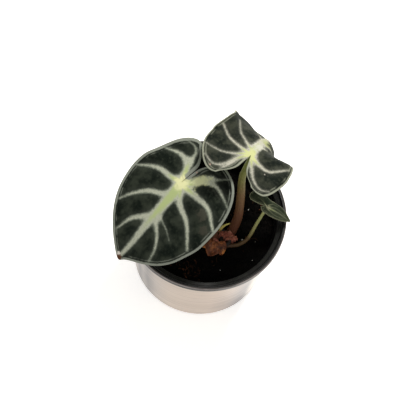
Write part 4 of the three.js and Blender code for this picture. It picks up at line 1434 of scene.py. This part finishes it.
fibres = []
for i in range(FIBRE_COUNT):
    heading = i * 2.4
    from_middle = FIBRE_SPREAD * math.sqrt((i + 0.5) / FIBRE_COUNT)
    middle = from_middle * np.array([math.cos(heading), math.sin(heading)])
    lean = np.array([math.cos(i * 1.7), math.sin(i * 1.7)])
    side = np.array([-lean[1], lean[0]])
    knots = [middle + lean * reach + side * sway for reach, sway in FIBRE_CURL]
    flat = path_through(knots, FIBRE_POINTS)
    hop = 0.35 + 0.35 * np.sin(np.linspace(0, 9, FIBRE_POINTS) + i)
    rise = crumbly_height(flat[:, 0], flat[:, 1]) + hop
    fibres.append(swept(f"fibre_{i}", np.c_[flat, rise], FIBRE_RADIUS, FIBRE_RADIUS * 0.6, 6, coir))
fibre_parts = []
for fibre in fibres:
    points = [tuple(vertex.co / MM) for vertex in fibre.data.vertices]
    fibre_parts.append((points, [list(face.vertices) for face in fibre.data.polygons]))
    bpy.data.objects.remove(fibre)
coir_fibres = new_piece("coir_fibres", *joined_parts(fibre_parts))
finish_piece(coir_fibres, coir)

# %% [markdown]
# ## Papery scales
#
# Old leaf bases dry to thin papery scales round the crown. Each is a bent sheet with crinkles along it
# and a torn end. A cloth simulation could crumple such a sheet, but a few waves of noise look the same
# at this size and stay where they are put.

# %% Scales
OLD_CENTRE = (11, -13)
OLD_SCALES = [
    (-112, 7.6, (2.5, 66.2), (12.2, 61.0), 1.5),
    (-150, 5.4, (3, 65.6), (11.6, 61.6), 1.1),
    (-66, 5, (3, 65.4), (10.2, 62.0), 1.0),
    (-88, 4.2, (2.6, 66.6), (9.4, 63.4), 1.3),
    (-132, 4.4, (2.8, 66.5), (10.4, 63.2), 1.2),
]
YOUNG_CENTRE = (14.6, -10.6)
YOUNG_SCALES = [
    (176, 3.6, (4.6, 61.5), (7.8, 68.8), 0.6),
    (140, 2.4, (3.1, 61.5), (3.4, 68.6), 0.3),
    (158, 2, (3.9, 61.5), (4.3, 68.2), 0.3),
    (-118, 3.4, (4.6, 61.5), (6.4, 66.4), 0.5),
    (-150, 3.4, (4.8, 61.5), (7.4, 67.6), 0.6),
]
SLEEVE_CENTRE = (17.8, -3.2)
SLEEVE_SCALES = [
    (-96, 3, (8.6, 61.5), (5.2, 70.6), 0.8),
    (-76, 2.8, (9, 61.5), (7, 68.8), 1.1),
    (-64, 2.4, (8.4, 61.5), (7.6, 66.8), 0.8),
    (-118, 2.6, (8.4, 61.5), (6, 69.2), 0.6),
    (-88, 3, (9.8, 61.5), (8.4, 67), 0.9),
]
PAPER = 0.28
PAPER_ROWS = 26
PAPER_COLUMNS = 22
PAPER_TAPER = 0.86
TORN_DEPTH = 0.16
CORM_CENTRE = (13, -11.5)


def paper_scale(centre, towards, half_width, inner, outer, arch, seed):
    rows, columns = PAPER_ROWS, PAPER_COLUMNS
    part = np.linspace(0, 1, rows)[:, None] * np.ones((1, columns))
    side = np.linspace(1, -1, columns)[None, :] * np.ones((rows, 1))
    grid = np.stack([part * 9, side * half_width, np.full_like(part, seed * 5.0)], -1)
    torn = rumple(grid[-1:], 1.4, seed).reshape(1, columns)
    part = part * (1 + TORN_DEPTH * torn * part)
    width = half_width * (1 - PAPER_TAPER * part**2.6)
    crinkle = rumple(grid, 3.2, seed + 0.5).reshape(rows, columns)
    crease = rumple(grid * (0.35, 1, 1), 1.1, seed + 0.8).reshape(rows, columns)
    run = np.array(outer, float) - np.array(inner, float)
    across = np.array([-run[1], run[0]]) / np.linalg.norm(run)
    bow = arch * (4 * part * (1 - part) - side**2) + 0.95 * crinkle * part + 0.6 * crease
    bow = bow + 0.9 * side**4 * part
    faces = []
    for lift in (PAPER, 0):
        radius = inner[0] + run[0] * part + across[0] * (bow + lift)
        height = inner[1] + run[1] * part + across[1] * (bow + lift)
        spread = side * width / np.maximum(radius, half_width)
        angle = math.radians(towards) + spread
        x, y = centre[0] + radius * np.cos(angle), centre[1] + radius * np.sin(angle)
        faces.append(np.stack([x, y, height], -1))
    return closed_sheet(*faces)


def corm_shape():
    """The swollen stem under the scales, with a sunken top."""
    profile = [(0, 50), (5.6, 52), (7.9, 57), (7.6, 61), (6.4, 63.6), (5, 64.2), (3.4, 62.6), (0, 61.8)]
    points, faces = lathe(softened(profile, 1.2, 4), 72)
    points = np.array(points)
    points[:, :2] *= (1 + 0.07 * rumple(points, 2.4, 9))[:, None]
    points[:, 2] += 0.5 * rumple(points, 1.6, 10)
    return points + (*CORM_CENTRE, 0), faces


old_parts = [paper_scale(OLD_CENTRE, *scale, seed=2 + i) for i, scale in enumerate(OLD_SCALES)]
old_scales = new_piece("old_scales", *joined_parts(old_parts))
corm = new_piece("corm", *corm_shape())
young_parts = [paper_scale(YOUNG_CENTRE, *scale, seed=20 + i) for i, scale in enumerate(YOUNG_SCALES)]
young_parts += [paper_scale(SLEEVE_CENTRE, *scale, seed=40 + i) for i, scale in enumerate(SLEEVE_SCALES)]
young_scales = new_piece("young_scales", *joined_parts(young_parts))
print("scales made:", len(old_parts) + len(young_parts))

# %% [markdown]
# ## Paper finish
#
# Dry sheaths go from dark brown to orange and young ones are pink, with fine fibres along them and paler
# torn tips. Patches and fibres drive one colour ramp, a second colour comes in by height, and a few
# bright dabs stand in for light that glows through the thin edges.

# %% Paper finish
def paper_finish(name, dark, mid, light, lip, lip_height, dabs=()):
    material, nodes = new_finish(name)
    place = object_place(nodes)
    patches = clouds(nodes, place, 230, 4, 0.65)
    fibres = clouds(nodes, stretched(nodes, place, (900, 900, 260)), 1, 3)
    stops = [(0.34, dark), (0.5, mid), (0.68, light)]
    colour = nodes.add("ShaderNodeValToRGB", {"stops": stops}, {0: patches * 0.65 + fibres * 0.35})
    height = along_axis(nodes, place, "Z")
    rim = (height + (patches - 0.5) * 0.002).fade(lip_height * MM, (lip_height + 0.9) * MM)
    colour = mixed(nodes, rim * 0.7, colour, lip)
    colour = dabbed(nodes, colour, stretched(nodes, place, (1000, 1000, 1000)), patches, dabs, 0.6)
    tissue = {
        "Subsurface Weight": 0.08,
        "Subsurface Radius": (0.002, 0.0008, 0.0004),
        "Specular IOR Level": 0.3,
    }
    close_finish(nodes, colour, 0.42 + fibres * 0.2, fibres, 0.3, **tissue)
    return material


# The orange dabs on the old scales and the pink dab on the young ones are painted light that glows through
# the thin paper.
GLOW_THROUGH_ORANGE = rgb(0.5, 0.2, 0.055)
old_paper = paper_finish(
    "old_paper", rgb(0.028, 0.008, 0.003), rgb(0.13, 0.036, 0.011), rgb(0.36, 0.125, 0.037),
    rgb(0.26, 0.17, 0.13), 67,
    [((16.3, -20.9, 62.5), 2.6, GLOW_THROUGH_ORANGE), ((3, -19.8, 62.5), 1.6, GLOW_THROUGH_ORANGE)],
)
young_paper = paper_finish(
    "young_paper", rgb(0.1, 0.03, 0.02), rgb(0.3, 0.095, 0.06), rgb(0.52, 0.24, 0.17),
    rgb(0.46, 0.21, 0.15), 68.5, [((22.5, -10.5, 66), 2, rgb(0.6, 0.25, 0.13))],
)
dark_fibre = paper_finish(
    "dark_fibre", rgb(0.004, 0.002, 0.0015), rgb(0.01, 0.006, 0.003), rgb(0.04, 0.02, 0.01),
    rgb(0.03, 0.016, 0.009), 70,
)
finish_piece(old_scales, old_paper, ["crown"])
finish_piece(corm, dark_fibre)
finish_piece(young_scales, young_paper, ["sheath"])
